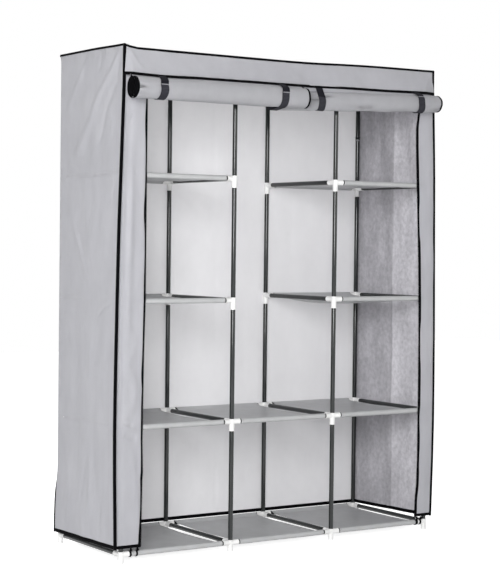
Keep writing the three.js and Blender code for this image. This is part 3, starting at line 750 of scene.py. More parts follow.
def make_shelf(bay, level):
    profile, seam = shelf_profile()
    xs = np.linspace(LINES[bay] + SLEEVE_INSET, LINES[bay + 1] - SLEEVE_INSET, SHELF_COLUMNS)
    seed = 10 * bay + level + 1
    y, x = np.meshgrid(profile[:, 0], xs, indexing="ij")
    height = profile[:, 1:]
    share = np.clip((y - FRONT - SLEEVE_DEPTH) / (BAY_DEPTH - 2 * SLEEVE_DEPTH), 0, 1)
    middle = np.sin(np.pi * share)
    side = np.abs(2 * (x - xs[0]) / (xs[-1] - xs[0]) - 1)
    belly = SHELF_BELLY.get((bay, level), SHELF_SAG) * middle * (1 - 0.25 * side**3)
    pulls = drift(x, y * 0.15, 0.022, seed) * 0.7 * MM * (np.exp(-share * 7) + np.exp(-(1 - share) * 7))
    pulls = np.abs(pulls) * smooth(share, 0, 0.02) * smooth(1 - share, 0, 0.02)
    soft = drift(x, y, 0.09, seed + 50) * 1.1 * MM * middle * 0.6
    curl = 1.2 * MM * smooth(side, 0.93, 1.0) * middle
    on_span = np.abs(height - CLOTH / 2) < 0.2 * MM
    z = height - np.where(on_span, belly + pulls - soft - curl, 0)
    slack = (np.abs(profile[:, :1] - FRONT) < SLEEVE_DEPTH) & (height < -2 * MM)
    z = z - np.where(slack, np.abs(drift(x, y, 0.03, seed + 80)) * 0.35 * MM, 0)
    points = stacked(x, y, z + LEVELS[level])
    steps = way_along(profile)
    name, slot = f"{BAY_NAMES[bay]}_{level}", "shelf_cloth"
    cloth = sheet_piece(
        f"shelf_cloth_{name}", points, stacked(x, steps[:, None]), [shelf_cloth], SHELF_THICK, slot=slot,
        replaces=[f"shelf_{name}"],
    )
    for index, (column, outer, inward) in enumerate(((0, xs[0], HEM_WIDTH), (-1, xs[-1], -HEM_WIDTH))):
        band = points[seam:-seam, [column]].repeat(2, axis=1)
        band[..., 0] = outer, outer + inward
        band[..., 2] += HEM_LIFT
        flat = stacked(band[..., 0], np.cumsum(np.full(band.shape[:2], 0.01), axis=0))
        hem = sheet_piece(f"shelf_hem_{name}_{index}", band, flat, [shelf_cloth], HEM_THICK, index == 1, slot=slot)


# The cover's panels. Each surface gives the outer face. Folds are rows of (path in metres, width in mm, height
# in mm, the share of the path that fades at each end, width at the far end in mm).
LEFT_RIDGES = [
    ([(0.015, 1.67), (0.064, 1.608), (0.106, 1.558), (0.163, 1.487)], 9, 3.2, 0.16, 20),
    ([(-0.2, 1.675), (-0.144, 1.604), (-0.064, 1.532), (-0.011, 1.45), (0.045, 1.386), (0.115, 1.308)],
     9, 5, 0.12, 26),
    ([(-0.161, 1.447), (-0.155, 1.383)], 9, 2, 0.3, 9),
    ([(0.12, 1.172), (0.096, 1.084), (0.037, 0.99), (-0.036, 0.892)], 12, 3, 0.3, 15),
    ([(-0.06, 1.18), (-0.04, 1.06), (-0.02, 0.96)], 22, 2, 0.3, 22),
    ([(-0.05, 0.76), (-0.045, 0.6), (-0.05, 0.48)], 20, 2.2, 0.3, 20),
    ([(-0.055, 0.4), (-0.05, 0.255), (-0.045, 0.086)], 14, 3, 0.25, 18),
    ([(0.13, 0.38), (0.12, 0.24), (0.13, 0.1)], 22, 2, 0.3, 22),
]
LEFT_VALLEYS = [
    ([(-0.19, 1.66), (-0.172, 1.57), (-0.12, 1.492), (-0.081, 1.396), (-0.054, 1.348)], 16, 4, 0.2, 14),
    ([(0.06, 1.672), (0.045, 1.64), (0.05, 1.6)], 14, 2.4, 0.3, 14),
    ([(-0.07, 1.675), (-0.066, 1.64), (-0.05, 1.6)], 10, 2.2, 0.3, 10),
    ([(0.181, 1.262), (-0.014, 1.265), (-0.211, 1.274)], 3.2, 2.4, 0.03, 3.2),
    ([(-0.205, 1.236), (-0.186, 1.213), (-0.18, 1.181), (-0.194, 1.149)], 4, 2.4, 0.3, 4),
    ([(0.215, 0.858), (0.1, 0.855), (0.02, 0.856)], 3.2, 2.2, 0.12, 3.2),
    ([(-0.213, 0.85), (-0.146, 0.833), (-0.099, 0.808), (-0.093, 0.781)], 6, 2.6, 0.3, 6),
    ([(0.222, 0.44), (0.1, 0.444), (-0.002, 0.45), (-0.194, 0.455)], 3.2, 2.6, 0.02, 3.2),
    ([(-0.019, 0.33), (0, 0.26), (0.021, 0.16)], 12, 2.6, 0.3, 12),
    ([(0.05, 1), (0.04, 0.9)], 14, 1.6, 0.3, 14),
    ([(0.04, 0.62), (0.05, 0.52)], 16, 1.6, 0.3, 16),
    ([(-0.13, 0.2), (-0.12, 0.11), (-0.125, 0.06)], 12, 2, 0.3, 12),
]
PLEATS = [0.165, 0.15, 0.135, 0.118, 0.1, 0.02, -0.02, -0.05, -0.095, -0.12]
RIGHT_RIDGES = [
    ([(0.045, 1.58), (0.103, 1.449), (0.151, 1.374), (0.206, 1.298)], 10, 5, 0.15, 13),
    ([(0.1, 1.3), (0.136, 1.219), (0.178, 1.162), (0.2, 1.08)], 10, 3, 0.3, 10),
    ([(-0.11, 1.6), (-0.095, 1.45), (-0.105, 1.3)], 16, 3, 0.3, 16),
    ([(-0.12, 0.6), (-0.105, 0.4), (-0.115, 0.2)], 18, 3, 0.3, 18),
]
BACK_FOLDS = [
    ([(-0.012, 1.56), (-0.012, 1.351), (-0.005, 0.836), (0.002, 0.319), (0.005, 0.07)], 2.6, 1.7, 0.02, 2.6),
    ([(-0.224, 1.6), (-0.206, 0.1)], 3, 1, 0.05, 3),
    ([(-0.64, 1.428), (-0.289, 1.433), (0.393, 1.462), (0.64, 1.468)], 2.6, 1.5, 0.02, 2.6),
    ([(-0.56, 0.335), (-0.192, 0.327), (0.388, 0.295), (0.6, 0.29)], 2.6, 1.2, 0.05, 2.6),
    ([(0.215, 1.35), (0.22, 1.24)], 16, 2.4, 0.3, 16),
    ([(0.12, 0.7), (0.13, 0.56)], 20, 2.2, 0.3, 20),
    ([(0.33, 1.12), (0.34, 0.98)], 20, 2.2, 0.3, 20),
]
FASCIA_FOLDS = [
    ([(-0.634, 1.672), (-0.605, 1.617), (-0.587, 1.603)], 5, 3.5, 0.2, 7),
    ([(0.628, 1.668), (0.6, 1.625), (0.588, 1.603)], 6, 3, 0.2, 8),
]
LEFT_STRIP_RIDGES = [
    ([(-0.627, 0.79), (-0.604, 0.715), (-0.626, 0.644), (-0.596, 0.565), (-0.622, 0.476)], 17, 4.5, 0.1, 17),
    ([(-0.625, 1.33), (-0.622, 1.15), (-0.628, 0.95)], 12, 3, 0.2, 12),
    ([(-0.613, 0.385), (-0.598, 0.311), (-0.59, 0.2)], 9, 3.5, 0.3, 12),
]
LEFT_STRIP_VALLEYS = [
    ([(-0.612, 1.462), (-0.625, 1.44), (-0.64, 1.418)], 4, 4, 0.2, 4),
    ([(-0.648, 0.457), (-0.625, 0.455), (-0.6, 0.452)], 4.5, 4, 0.3, 7),
    ([(-0.64, 0.418), (-0.605, 0.41), (-0.588, 0.409)], 9, 2.8, 0.2, 9),
    ([(-0.608, 1.272), (-0.601, 1.268)], 3, 2.5, 0.3, 3),
]


def side_fold(side, z, share):
    low_folds = wave(share, 3) * (1 - height_share(z))
    fold = SIDE_FOLD * wave(share, 1) * mix(low_folds, billow(z), 0.4)
    return mix(front_bulge(side, z), rear_bulge(side, z), smooth(share, -0.15, 1)) + fold


def inside_edges(y, z):
    """1 in the middle of a side panel, falling to 0 at its sewn edges."""
    across = smooth(EDGE_Y - np.abs(y), 0, 0.035)
    return across * (smooth(z - HEM, 0, 0.02) * smooth(PANEL_TOP - z, 0, 0.012))


def left_surface(y, z):
    lift = folds(y, z, LEFT_RIDGES) - folds(y, z, LEFT_VALLEYS)
    for index, place in enumerate(PLEATS):
        path = [(place, PANEL_TOP + 0.01), (place + 0.006, PANEL_TOP - 0.03 - 0.008 * (index % 3))]
        lift = lift - ridge(y, z, path, 3, 1.6, 0.3, 5)
    return lift + drift(y, z * 0.35, 0.035, 3) * 0.7 * MM + drift(y, z * 0.6, 0.012, 4) * 0.16 * MM


def right_surface(y, z):
    """From inside, the cloth is creased upright near its middle, and its front half turns to the opening."""
    crease_y = mix(0.02, 0.002, mid_lift(z)) + 0.006 * np.sin(7 * z)
    crease = np.exp(-np.abs(y - crease_y) / 0.04) * 9 * MM
    lift = -crease * mid_lift(z) ** 0.4 - 1.5 * folds(y, z, RIGHT_RIDGES)
    return lift + drift(y, z * 0.5, 0.03, 7) * 0.9 * MM + drift(y, z * 0.8, 0.01, 8) * 0.22 * MM


def side_surface(side, y, z):
    share = (y + HALF_DEPTH) / (2 * HALF_DEPTH)
    lift = (left_surface if side < 0 else right_surface)(y, z)
    out = side_fold(side, z, share) + lift * inside_edges(y, z)
    return EDGE_X + (out if side < 0 else np.maximum(out, 0))


def panel_rows(step, top=PANEL_TOP):
    return np.linspace(HEM, top, int(round((top - HEM) / step)) + 1)


def cover_piece(name, node, points, flat, flip=False, inside=cloth_in):
    return sheet_piece(name, points, flat, [cloth_out, inside], flip=flip, slot="cover_cloth", replaces=[node])


def make_side(side, name):
    z, y = np.meshgrid(panel_rows(6 * MM), np.linspace(-EDGE_Y, EDGE_Y, 90), indexing="ij")
    y = mix(-EDGE_Y - front_forward(side, z), EDGE_Y, (y + EDGE_Y) / (2 * EDGE_Y))
    tuck = rounding(side, y, z)
    x = side * (side_surface(side, y, z) - tuck)
    y = y - tuck
    z = z + side_top(side, y) * smooth(z, SEAM, PANEL_TOP) + table(SIDE_HEM[side], y) * let_down(z)
    # the right panel's inside takes the copy painted darker, as painted shade
    inside = cloth_in if side < 0 else cloth_in_right_shaded
    return cover_piece(f"side_panel_{name}", f"cover_{name}_side", stacked(x, y, z), stacked(y, z), side < 0, inside)


def over_connectors(x, z):
    """1 where the back lies on a connector, 0 away from them."""
    across = np.max([1 - smooth(np.abs(x - line), 0.016, 0.036) for line in LINES], axis=0)
    up = np.max([1 - smooth(np.abs(z - level), 0.026, 0.05) for level in LEVELS], axis=0)
    return across * up


def back_surface(x, z):
    edge = EDGE_X + rear_bulge(-1, z)
    fold = 0.3 * BACK_FOLD * wave((x / edge + 1) / 2, 3) * mix(1, billow(z), 0.7) * mid_lift(z)
    margin = smooth(edge - np.abs(x), 0, 0.03) * smooth(z - HEM, 0, 0.03) * smooth(PANEL_TOP - z, 0, 0.02)
    lift = folds(x, z, BACK_FOLDS)
    lift = lift + drift(x, z * 0.45, 0.05, 21) * 0.5 * MM + drift(x, z * 0.7, 0.012, 22) * 0.15 * MM
    surface = EDGE_Y + fold + (lift - 1.2 * MM) * margin
    return surface + over_connectors(x, z) * np.maximum(EDGE_Y + 0.5 * MM - surface, 0)


def make_back():
    z, share = np.meshgrid(panel_rows(9 * MM), np.linspace(-1, 1, 150), indexing="ij")
    tuck = rounding(-1, EDGE_Y, z)
    x = share * (EDGE_X + np.where(share < 0, rear_bulge(-1, z) - tuck, rear_bulge(1, z)))
    y = back_surface(x, z) - tuck * smooth(-share, 1 - ROUND_REACH / EDGE_X, 1)
    z = z + table(REAR_TOP_EDGE, x) * smooth(z, SEAM, PANEL_TOP) + table(BACK_HEM, x) * let_down(z)
    return cover_piece("back_panel", "cover_back", stacked(x, y, z), stacked(x, z), True)


def seam_line(x, layer):
    """The seam of the doors behind the fascia, which bows forward over them. Each layer lies before the last."""
    flare = FASCIA_FLARE * smooth(EDGE_X - np.abs(x), 0, FLARE_WIDTH)
    return COVER_FRONT - flare - layer * (CLOTH + SEAM_GAP)


def softened(values, step, reach):
    """The highest of the neighbouring values within reach, then their mean over the same reach."""
    count = max(1, int(reach / step))
    windows = np.lib.stride_tricks.sliding_window_view
    highest = windows(np.pad(values, 2 * count, mode="edge"), 2 * count + 1).max(axis=1)
    return windows(highest, 2 * count + 1).mean(axis=1)


def reach_over_doors():
    """How far forward the fascia's lower edge has to lie to pass over the doors and their rolls."""
    xs = np.linspace(-EDGE_X, EDGE_X, 400)
    reach = np.full_like(xs, 5 * MM)
    for roll in (LEFT_ROLL, RIGHT_ROLL):
        share = roll.share_at(xs)
        _, y, z, radius_y, radius_z = roll.section(np.clip(share, 0, 1))
        rise = np.clip((lower_edge(xs) - z) / radius_z, -1, 1)
        on_roll = y - radius_y * np.sqrt(1 - rise**2)
        attach_y, attach_z = y + radius_y * math.cos(ATTACH_ANGLE), z + radius_z * math.sin(ATTACH_ANGLE)
        along = np.clip((SEAM - lower_edge(xs)) / (SEAM - attach_z), 0, 1)
        on_drop = mix(seam_line(xs, roll.layer), attach_y, along)
        front = np.where(rise < 1, np.minimum(on_roll, on_drop), on_drop)
        here = (share >= 0) & (share <= 1)
        reach = np.where(here, np.maximum(reach, COVER_FRONT - front + 4.5 * MM), reach)
    eased = softened(reach, xs[1] - xs[0], 0.022)
    base = 4 * MM * np.clip((EDGE_X - np.abs(xs) + 3 * MM) / (6 * MM), 0, 1)
    return xs, base + (eased - 4 * MM) * smooth(EDGE_X - np.abs(xs), 0, 0.02)


def fascia_reach(x):
    return np.interp(x, *FASCIA_REACH)


def fascia_points(x, share):
    """share goes from 0 at the lower edge to 1 at the top."""
    z = mix(lower_edge(x), PANEL_TOP + top_dip(x), share)
    lift = fascia_reach(x) * (1 - share) ** 1.35
    margin = smooth(share, 0, 0.12) * smooth(1 - share, 0, 0.12)
    soft = drift(x * 0.5, z, 0.05, 31) * MM + drift(x, z * 0.5, 0.02, 32) * 0.35 * MM
    return stacked(x, COVER_FRONT - lift - (folds(x, z, FASCIA_FOLDS) + soft) * margin, z)


def fascia_stops(middle):
    """Places along the fascia, closer together at its ends, with that many in the middle part."""
    parts = [np.linspace(-EDGE_X, -0.45, 40), np.linspace(-0.45, 0.45, middle)[1:-1], np.linspace(0.45, EDGE_X, 40)]
    return np.concatenate(parts)


def make_fascia():
    share, x = np.meshgrid(np.linspace(0, 1, 19), fascia_stops(60), indexing="ij")
    points = fascia_points(x, share)
    return cover_piece("fascia", "cover_front", points, stacked(x, points[..., 2]))


def left_strip_surface(x, z, inside):
    """Distance in front of the frame. inside is the distance from the corner."""
    valley = smooth(inside, 0.004, 0.016) * (1 - smooth(inside, 0.024, 0.042))
    ridge_line = 4 * MM * np.exp(-(((inside - 0.046) / 0.014) ** 2)) * mid_lift(z)
    lift = folds(x, z, LEFT_STRIP_RIDGES) - folds(x, z, LEFT_STRIP_VALLEYS)
    lift = lift + drift(x, z * 0.3, 0.03, 41) * 0.7 * MM
    return (ridge_line + lift + 2 * MM) * (1 - 0.9 * valley * smooth(1.53 - z, 0, 0.06))


def right_strip_surface(x, z, inside):
    ridge_line = 3 * MM * np.exp(-(((inside - 0.022) / 0.012) ** 2)) * mid_lift(z)
    return ridge_line + drift(x, z * 0.25, 0.03, 42) * 0.8 * MM + MM


def strip_corner(side, z, inside):
    """The strip comes forward to the corner's seam."""
    return front_forward(side, z) * (1 - smooth(inside, 0.001, 0.015))


def make_strip(side, name):
    z, share = np.meshgrid(panel_rows(6 * MM, SEAM + 12 * MM), np.linspace(0, 1, 34), indexing="ij")
    outer, inner = side * (EDGE_X + front_bulge(side, z)), opening_edge(side, z)
    x = mix(outer, inner, share)
    inside = np.abs(x - outer)
    surface = (left_strip_surface if side < 0 else right_strip_surface)(x, z, inside)
    margin = smooth(inside, 0, 0.012) * smooth(np.abs(x - inner), 0, 0.012)
    margin = margin * smooth(z - HEM, 0, 0.02) * smooth(SEAM - z, -0.005, 0.03)
    y = COVER_FRONT - surface * margin - strip_corner(side, z, inside)
    z = z + STRIP_HEM[side] * let_down(z)
    return cover_piece(f"front_strip_{name}", "cover_front", stacked(x, y, z), stacked(x, z), side > 0)


def roof_surface(x, y):
    """The roof hangs between the corner posts' caps and lies on the top rails, which are a little lower."""
    on_rails = np.maximum(top_dip(x), -9.8 * MM)
    level = mix(on_rails, table(REAR_TOP_EDGE, x), smooth(y, -EDGE_Y, EDGE_Y))
    over_front = np.clip((-y - BAY_DEPTH / 2) / (EDGE_Y - BAY_DEPTH / 2), 0, 1)
    fold = (top_dip(x) - on_rails) * (1 - np.sqrt(1 - 0.998 * over_front**2))
    bay = np.abs(np.sin(np.pi * (x - LINES[0]) / BAY_WIDTH)) * smooth(HALF_WIDTH - np.abs(x), 0, 0.02)
    across = np.cos(np.pi * np.clip(y / BAY_DEPTH, -0.5, 0.5)) * smooth(HALF_WIDTH - np.abs(x), 0, 0.03)
    open_bay = smooth(np.abs(x), BAY_WIDTH / 2, BAY_WIDTH / 2 + 0.05)
    soft = drift(x, y, 0.06, 51) * MM * across * open_bay
    return ROOF + CLOTH + level + fold - ROOF_SAG * bay * across * open_bay + soft


def make_roof():
    ys = np.concatenate([np.linspace(-EDGE_Y, FRONT, 9), np.linspace(FRONT, EDGE_Y, 56)[1:]])
    x, y = np.meshgrid(np.linspace(-EDGE_X, EDGE_X, 150), ys)
    return cover_piece("roof_panel", "cover_roof", stacked(x, y, roof_surface(x, y)), stacked(x, y))


# Black bindings, hems and zip tape
def corner_section(legs, thick):
    """A tape folded over a corner seam. The two axes are the outward normals of the panels."""
    first, second = legs
    return [
        (0, -first), (thick * 0.8, -first * 0.97), (thick, -first * 0.85), (thick, -thick * 0.3),
        (thick * 0.7, thick * 0.7), (-thick * 0.3, thick), (-second * 0.85, thick), (-second * 0.97, thick * 0.8),
        (-second, 0), (-0.3 * MM, -0.3 * MM),
    ]


def edge_section(depth, thick):
    """A tape folded over a free edge: the first axis points out of the cloth's edge, the second across it."""
    half = thick / 2
    return [
        (-depth, half * 0.8), (-depth * 0.9, half), (-half, half), (0, half * 0.6), (0.3 * half, 0),
        (0, -half * 0.6), (-half, -half), (-depth * 0.9, -half), (-depth, -half * 0.8),
    ]


def make_bindings():
    zs = np.linspace(HEM - 1 * MM, PANEL_TOP, 120)
    for side, name in SIDES:
        for depth, end in DEPTHS:
            front = depth < 0
            x = side * (EDGE_X + (front_bulge if front else rear_bulge)(side, zs))
            y = depth * EDGE_Y - front_forward(side, zs) * front
            z = zs + side_top(side, y) * smooth(zs, SEAM, PANEL_TOP) + table(SIDE_HEM[side], y) * let_down(zs)
            tuck = rounding(side, y, zs)
            hidden = smooth(zs, 0.17, 0.24) * (side < 0 and not front)
            on_side = mix((7 if front else 5) * MM, 0.4 * MM, hidden)
            on_face = np.full_like(zs, ((9 if side > 0 else 7) if front else 5) * MM)
            thick = mix(1.9 * MM, 0.4 * MM, hidden)
            section = [corner_section(legs, deep) for *legs, deep in zip(on_side, on_face, thick)]
            path = stacked(x - side * tuck, y - tuck, z)
            taped(f"corner_binding_{name}_{end}", path, section, (side, 0, 0), (0, depth, 0))
    xs = np.linspace(-EDGE_X, EDGE_X, 160)
    section = corner_section((6.5 * MM, 4.5 * MM), 1.6 * MM)
    for (depth, end), rows in zip(DEPTHS, (TOP_EDGE, REAR_TOP_EDGE)):
        path = stacked(xs, depth * EDGE_Y, ROOF + CLOTH / 2 + table(rows, xs))
        taped(f"top_binding_{end}", path, section, (0, depth, 0), (0, 0, 1))
    ys = np.linspace(-EDGE_Y, EDGE_Y, 60)
    section = corner_section((6 * MM, 5 * MM), 1.6 * MM)
    for side, name in SIDES:
        path = stacked(side * EDGE_X, ys, ROOF + CLOTH / 2 + side_top(side, ys))
        taped(f"top_binding_{name}", path, section, (side, 0, 0), (0, 0, 1))


def make_fascia_binding():
    """The wide black tape over the seam along the fascia's lower edge."""
    xs = fascia_stops(50)
    low = fascia_points(xs, np.zeros_like(xs))
    rise = fascia_points(xs, np.full_like(xs, 0.1)) - low
    rise = rise / np.linalg.norm(rise, axis=1)[:, None]
    out = np.cross(np.array([1.0, 0, 0]), rise)
    out = out / np.linalg.norm(out, axis=1)[:, None]
    out = np.where(out[:, 1:2] > 0, -out, out)
    section = [
        (-0.8 * MM, -1 * MM), (-1 * MM, 0.2 * MM), (-0.4 * MM, 1.1 * MM), (0.8 * MM, 1.4 * MM), (8.4 * MM, 1.4 * MM),
        (9.4 * MM, 0.9 * MM), (9.4 * MM, 0.1 * MM), (4 * MM, -0.5 * MM), (4 * MM, -1.6 * MM), (0, -1.6 * MM),
    ]
    return taped("fascia_binding", low, section, rise, out)


def make_hems():
    on_panel, on_strip, down = edge_section(12 * MM, 4.2 * MM), edge_section(10 * MM, 4 * MM), (0, 0, -1)
    for side, name in SIDES:
        ys = np.linspace(-EDGE_Y - front_forward(side, HEM), EDGE_Y, 70)
        x = side * (side_surface(side, ys, np.full_like(ys, HEM)) - CLOTH / 2)
        taped(f"hem_{name}", stacked(x, ys, HEM + table(SIDE_HEM[side], ys)), on_panel, down, (side, 0, 0))
    xs = np.linspace(-EDGE_X - rear_bulge(-1, HEM), EDGE_X + rear_bulge(1, HEM), 120)
    taped("hem_rear", stacked(xs, EDGE_Y - CLOTH / 2, HEM + table(BACK_HEM, xs)), on_panel, down, (0, 1, 0))
    for side, name in SIDES:
        xs = np.linspace(side * (EDGE_X + front_bulge(side, HEM)), opening_edge(side, HEM), 16)
        y = COVER_FRONT + CLOTH / 2 - strip_corner(side, HEM, np.abs(xs - xs[0]))
        taped(f"hem_strip_{name}", stacked(xs, y, HEM + STRIP_HEM[side]), on_strip, down, (0, -1, 0))


# A tooth's corners in mm, as (out of the tape, across it, along it), and its faces
TOOTH = [
    (0, -0.55, -0.75), (2, -0.45, -0.525), (2.3, -0.7, 0), (2, -0.45, 0.525), (0, -0.55, 0.75),
    (0, 0.55, -0.75), (2, 0.45, -0.525), (2.3, 0.7, 0), (2, 0.45, 0.525), (0, 0.55, 0.75),
]
TOOTH_FACES = [(0, 1, 2, 3, 4), (9, 8, 7, 6, 5), (0, 5, 6, 1), (1, 6, 7, 2), (2, 7, 8, 3), (3, 8, 9, 4), (4, 9, 5, 0)]
TOOTH_PITCH = 2.4 * MM


def make_zip(side, name):
    """Tape along the opening's edge, with a row of teeth on it."""
    zs = np.linspace(HEM - 1 * MM + STRIP_HEM[side], SEAM - 1 * MM, 160)
    middle = COVER_FRONT + CLOTH / 2
    path, section = stacked(opening_edge(side, zs), middle, zs), edge_section(10.5 * MM, 3 * MM)
    tape = taped(f"zip_tape_{name}", path, section, (-side, 0, 0), (0, -1, 0))
    points, faces = [], []
    for z in np.arange(HEM + 4 * MM, SEAM - 8 * MM, TOOTH_PITCH):
        edge = opening_edge(side, z)
        faces += [tuple(len(points) + k for k in ring) for ring in TOOTH_FACES]
        points += [(edge - side * (out + 0.1) * MM, middle + across * MM, z + up * MM) for out, across, up in TOOTH]
    teeth = f"zip_teeth_{name}"
    new_object(teeth, new_mesh(teeth, points, faces, angle=20), [binding_cloth], slot="binding")
    return tape


# Rolled doors
class Roll:
    """The section of a rolled door at any share of its length from the outer end. Pairs are (outer, inner) ends.

    Sizes are given in mm. ends is how far the ends lie in from the cover's corner and past its middle. layer
    counts the layers of cloth in the seam, up to this door's own. flatter says how depth and standoff go along.
    """

    def __init__(
        self, side, name, layer, ends, standoffs, depths, heights, hang, rise, seed, straps, flatter=((0, 0), (1, 1)),
    ):
        self.side, self.name, self.layer, self.seed = side, name, layer, seed
        self.outer_x, self.inner_x = side * (EDGE_X - ends[0] * MM), -side * ends[1] * MM
        self.standoffs, self.depths, self.heights = (np.array(pair) * MM for pair in (standoffs, depths, heights))
        self.hang, self.rise, self.flatter = hang * MM, rise * MM, list(zip(*flatter))
        self.straps = [mix(self.outer_x, self.inner_x, share) for share in straps]
        self.length = abs(self.inner_x - self.outer_x)

    def share_at(self, x):
        return (x - self.outer_x) / (self.inner_x - self.outer_x)

    def section(self, share):
        flat_share = np.interp(share, *self.flatter)
        radius_y, radius_z = mix(*self.depths, flat_share) / 2, mix(*self.heights, share) / 2
        y = COVER_FRONT - mix(*self.standoffs, flat_share) - radius_y
        return mix(self.outer_x, self.inner_x, share), y, SEAM - self.hang + self.rise * share, radius_y, radius_z

    def pinch(self, x):
        """Straps draw the roll in."""
        return sum(np.exp(-(((x - place) / 0.02) ** 2)) for place in self.straps)

    def surface(self, share, angle, inset=0, turn=1):
        """(x, y, z) on the roll's outside at an angle, or on an inner turn."""
        x, y, z, radius_y, radius_z = self.section(share)
        ripple = drift(x * 0.6, angle * 0.03, 0.045, self.seed) * MM
        long_fold = drift(x * 0.12, angle * 0.035, 0.018, self.seed + 1) * 0.7 * MM
        near_attach = smooth(np.abs(np.angle(np.exp(1j * (angle - ATTACH_ANGLE)))), 0.2, 0.9)
        soft = (ripple + long_fold - 0.8 * MM) * near_attach - 1.6 * MM * self.pinch(x) * near_attach
        reach_y, reach_z = (radius_y - inset + soft) * turn, (radius_z - inset + soft) * turn
        return stacked(x, y + reach_y * np.cos(angle), z + reach_z * np.sin(angle))


LEFT_ROLL = Roll(-1, "left", 2, (3, 20), (15, 44), (75, 60), (75, 75), 54, 0, 61, (0.146, 0.846))
RIGHT_ROLL = Roll(
    1, "right", 1, (28, 75), (22, 15), (65, 20), (65, 70), 37, -25, 71, (0.151, 0.757),
    ((0, 0), (0.5, 0.25), (0.763, 0.6), (0.85, 0.88), (0.93, 0.97), (1, 1)),
)
FASCIA_REACH = reach_over_doors()
TURN_STEPS, ROLL_CORE = 30, 0.1  # points round each turn, and the innermost turn's size beside the outermost's
DOOR_LENGTH = 1.5
ROLL_THICK, DROP_THICK, TAPE_THICK = 0.5 * MM, 0.6 * MM, 1.9 * MM
DROP_TUCK = 14 * MM  # the outer end of a door's top edge is tucked in behind the fascia's corner


def wound(roll, shares, turns, inset=0):
    """The rolled cloth's points from where it meets the door inwards, and the turn of each."""
    share, turn = np.meshgrid(shares, np.arange(turns * TURN_STEPS + 1) / TURN_STEPS, indexing="ij")
    shrink = 1 - (1 - ROLL_CORE) * turn / turns
    return roll.surface(share, ATTACH_ANGLE - 2 * np.pi * turn, inset, shrink), turn


def make_roll(roll, turns):
    """A rolled door, and the tape round each of its ends."""
    door, tape = f"{roll.name}_door", 7 * MM / roll.length
    points, _ = wound(roll, np.linspace(tape * 0.6, 1 - tape * 0.6, 110), turns)
    arc, facts = way_along(points[0]), {"flip": roll.side < 0, "body": door}
    cloth = sheet_piece(
        f"{door}_rolled", points, stacked(points[..., 0], arc), [cloth_out, cloth_in], ROLL_THICK, slot="cover_cloth",
        replaces=[f"{door}_roll"], **facts,
    )
    tapes = []
    for end, shares in (("outer", np.linspace(0, tape, 3)), ("inner", 1 - np.linspace(tape, 0, 3))):
        ring, turn = wound(roll, shares, turns, -0.25 * MM)
        ring[..., 0] += drift(turn * 0.02, 0 * turn, 0.02, roll.seed + 5) * 0.8 * MM
        flat = stacked(ring[..., 0], arc)
        tapes.append(sheet_piece(f"{door}_tape_{end}", ring, flat, [binding_cloth], TAPE_THICK, **facts))
    for share in (0, 1):
        x, y, _, radius, _ = roll.section(share)
    for piece in [cloth, *tapes]:
        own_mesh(piece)
    flat = (roll.length, DOOR_LENGTH)


def make_drop(roll):
    """The door's cloth between the seam and its roll, with its taped edges."""
    door = f"{roll.name}_door"
    down, share = np.meshgrid(np.linspace(0, 1, 57), np.linspace(0, 1, 100), indexing="ij")
    meet = roll.surface(share, np.full_like(share, ATTACH_ANGLE))
    x = meet[..., 0]
    tucked = x - roll.side * DROP_TUCK * (1 - smooth(share, 0, 0.08))
    top = stacked(tucked, seam_line(x, roll.layer) + CLOTH / 2, SEAM - SEAM_GAP)
    meet[..., 1] += CLOTH / 2
    points = mix(top, meet, down[..., None])
    cloth = sheet_piece(
        f"{door}_drop_cloth", points, stacked(x, points[..., 2]), [cloth_in, cloth_out], DROP_THICK, roll.side > 0, 0,
        body=None, slot="cover_cloth", replaces=[f"{door}_drop"],
    )
    tapes = []
    for end, column, way, width in (("outer", 0, roll.side, 18), ("inner", -1, -roll.side, 6.5)):
        name, section = f"{roll.name}_drop_tape_{end}", edge_section(width * MM, 1.8 * MM)
        tapes.append(taped(name, points[:, column], section, (way, 0, 0), (0, -1, 0), body=None))
    for piece in [cloth, *tapes]:
        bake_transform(piece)


# Straps
def hull(points):
    ordered = sorted(map(tuple, points))

    def half(run):
        chain = []
        for p in run:
            while len(chain) > 1 and (
                (chain[-1][0] - chain[-2][0]) * (p[1] - chain[-2][1])
                - (chain[-1][1] - chain[-2][1]) * (p[0] - chain[-2][0])
            ) <= 0:
                chain.pop()
            chain.append(p)
        return chain

    return half(ordered)[:-1] + half(ordered[::-1])[:-1]


def strap_outline(x, rolls, gap):
    """The strap's inner line in (y, z), from the seam behind the rolls, under them and up to the seam in front."""
    edges = [x - STRAP_WIDTH / 2, x, x + STRAP_WIDTH / 2]
    angles = np.linspace(0, 2 * np.pi, 72, endpoint=False)
    rim = []
    for roll in rolls:
        for edge in edges:
            share = np.clip(roll.share_at(edge), 0, 1)
            rim.extend(map(tuple, roll.surface(np.full_like(angles, share), angles, -gap)[:, 1:]))
            _, y, z = roll.surface(share, np.array(ATTACH_ANGLE))
            rim.append((float(y) + CLOTH + 0.5 * MM, float(z)))
    rear = (max(float(seam_line(edge, 2)) for edge in edges) + 3.5 * MM, SEAM - SEAM_GAP)
    front = (COVER_FRONT - float(fascia_reach(x)) + 2.6 * MM, float(lower_edge(x)) + 3 * MM)
    ring = hull([*rim, rear, front])[::-1]
    first = ring.index(rear)
    line = ring[first:] + ring[:first]
    return np.array(line if line[-1] == front else [*line, front])


def resampled(line, step):
    ways = way_along(line)
    places = np.linspace(0, ways[-1], max(4, int(ways[-1] / step)))
    return stacked(*(np.interp(places, ways, values) for values in line.T))


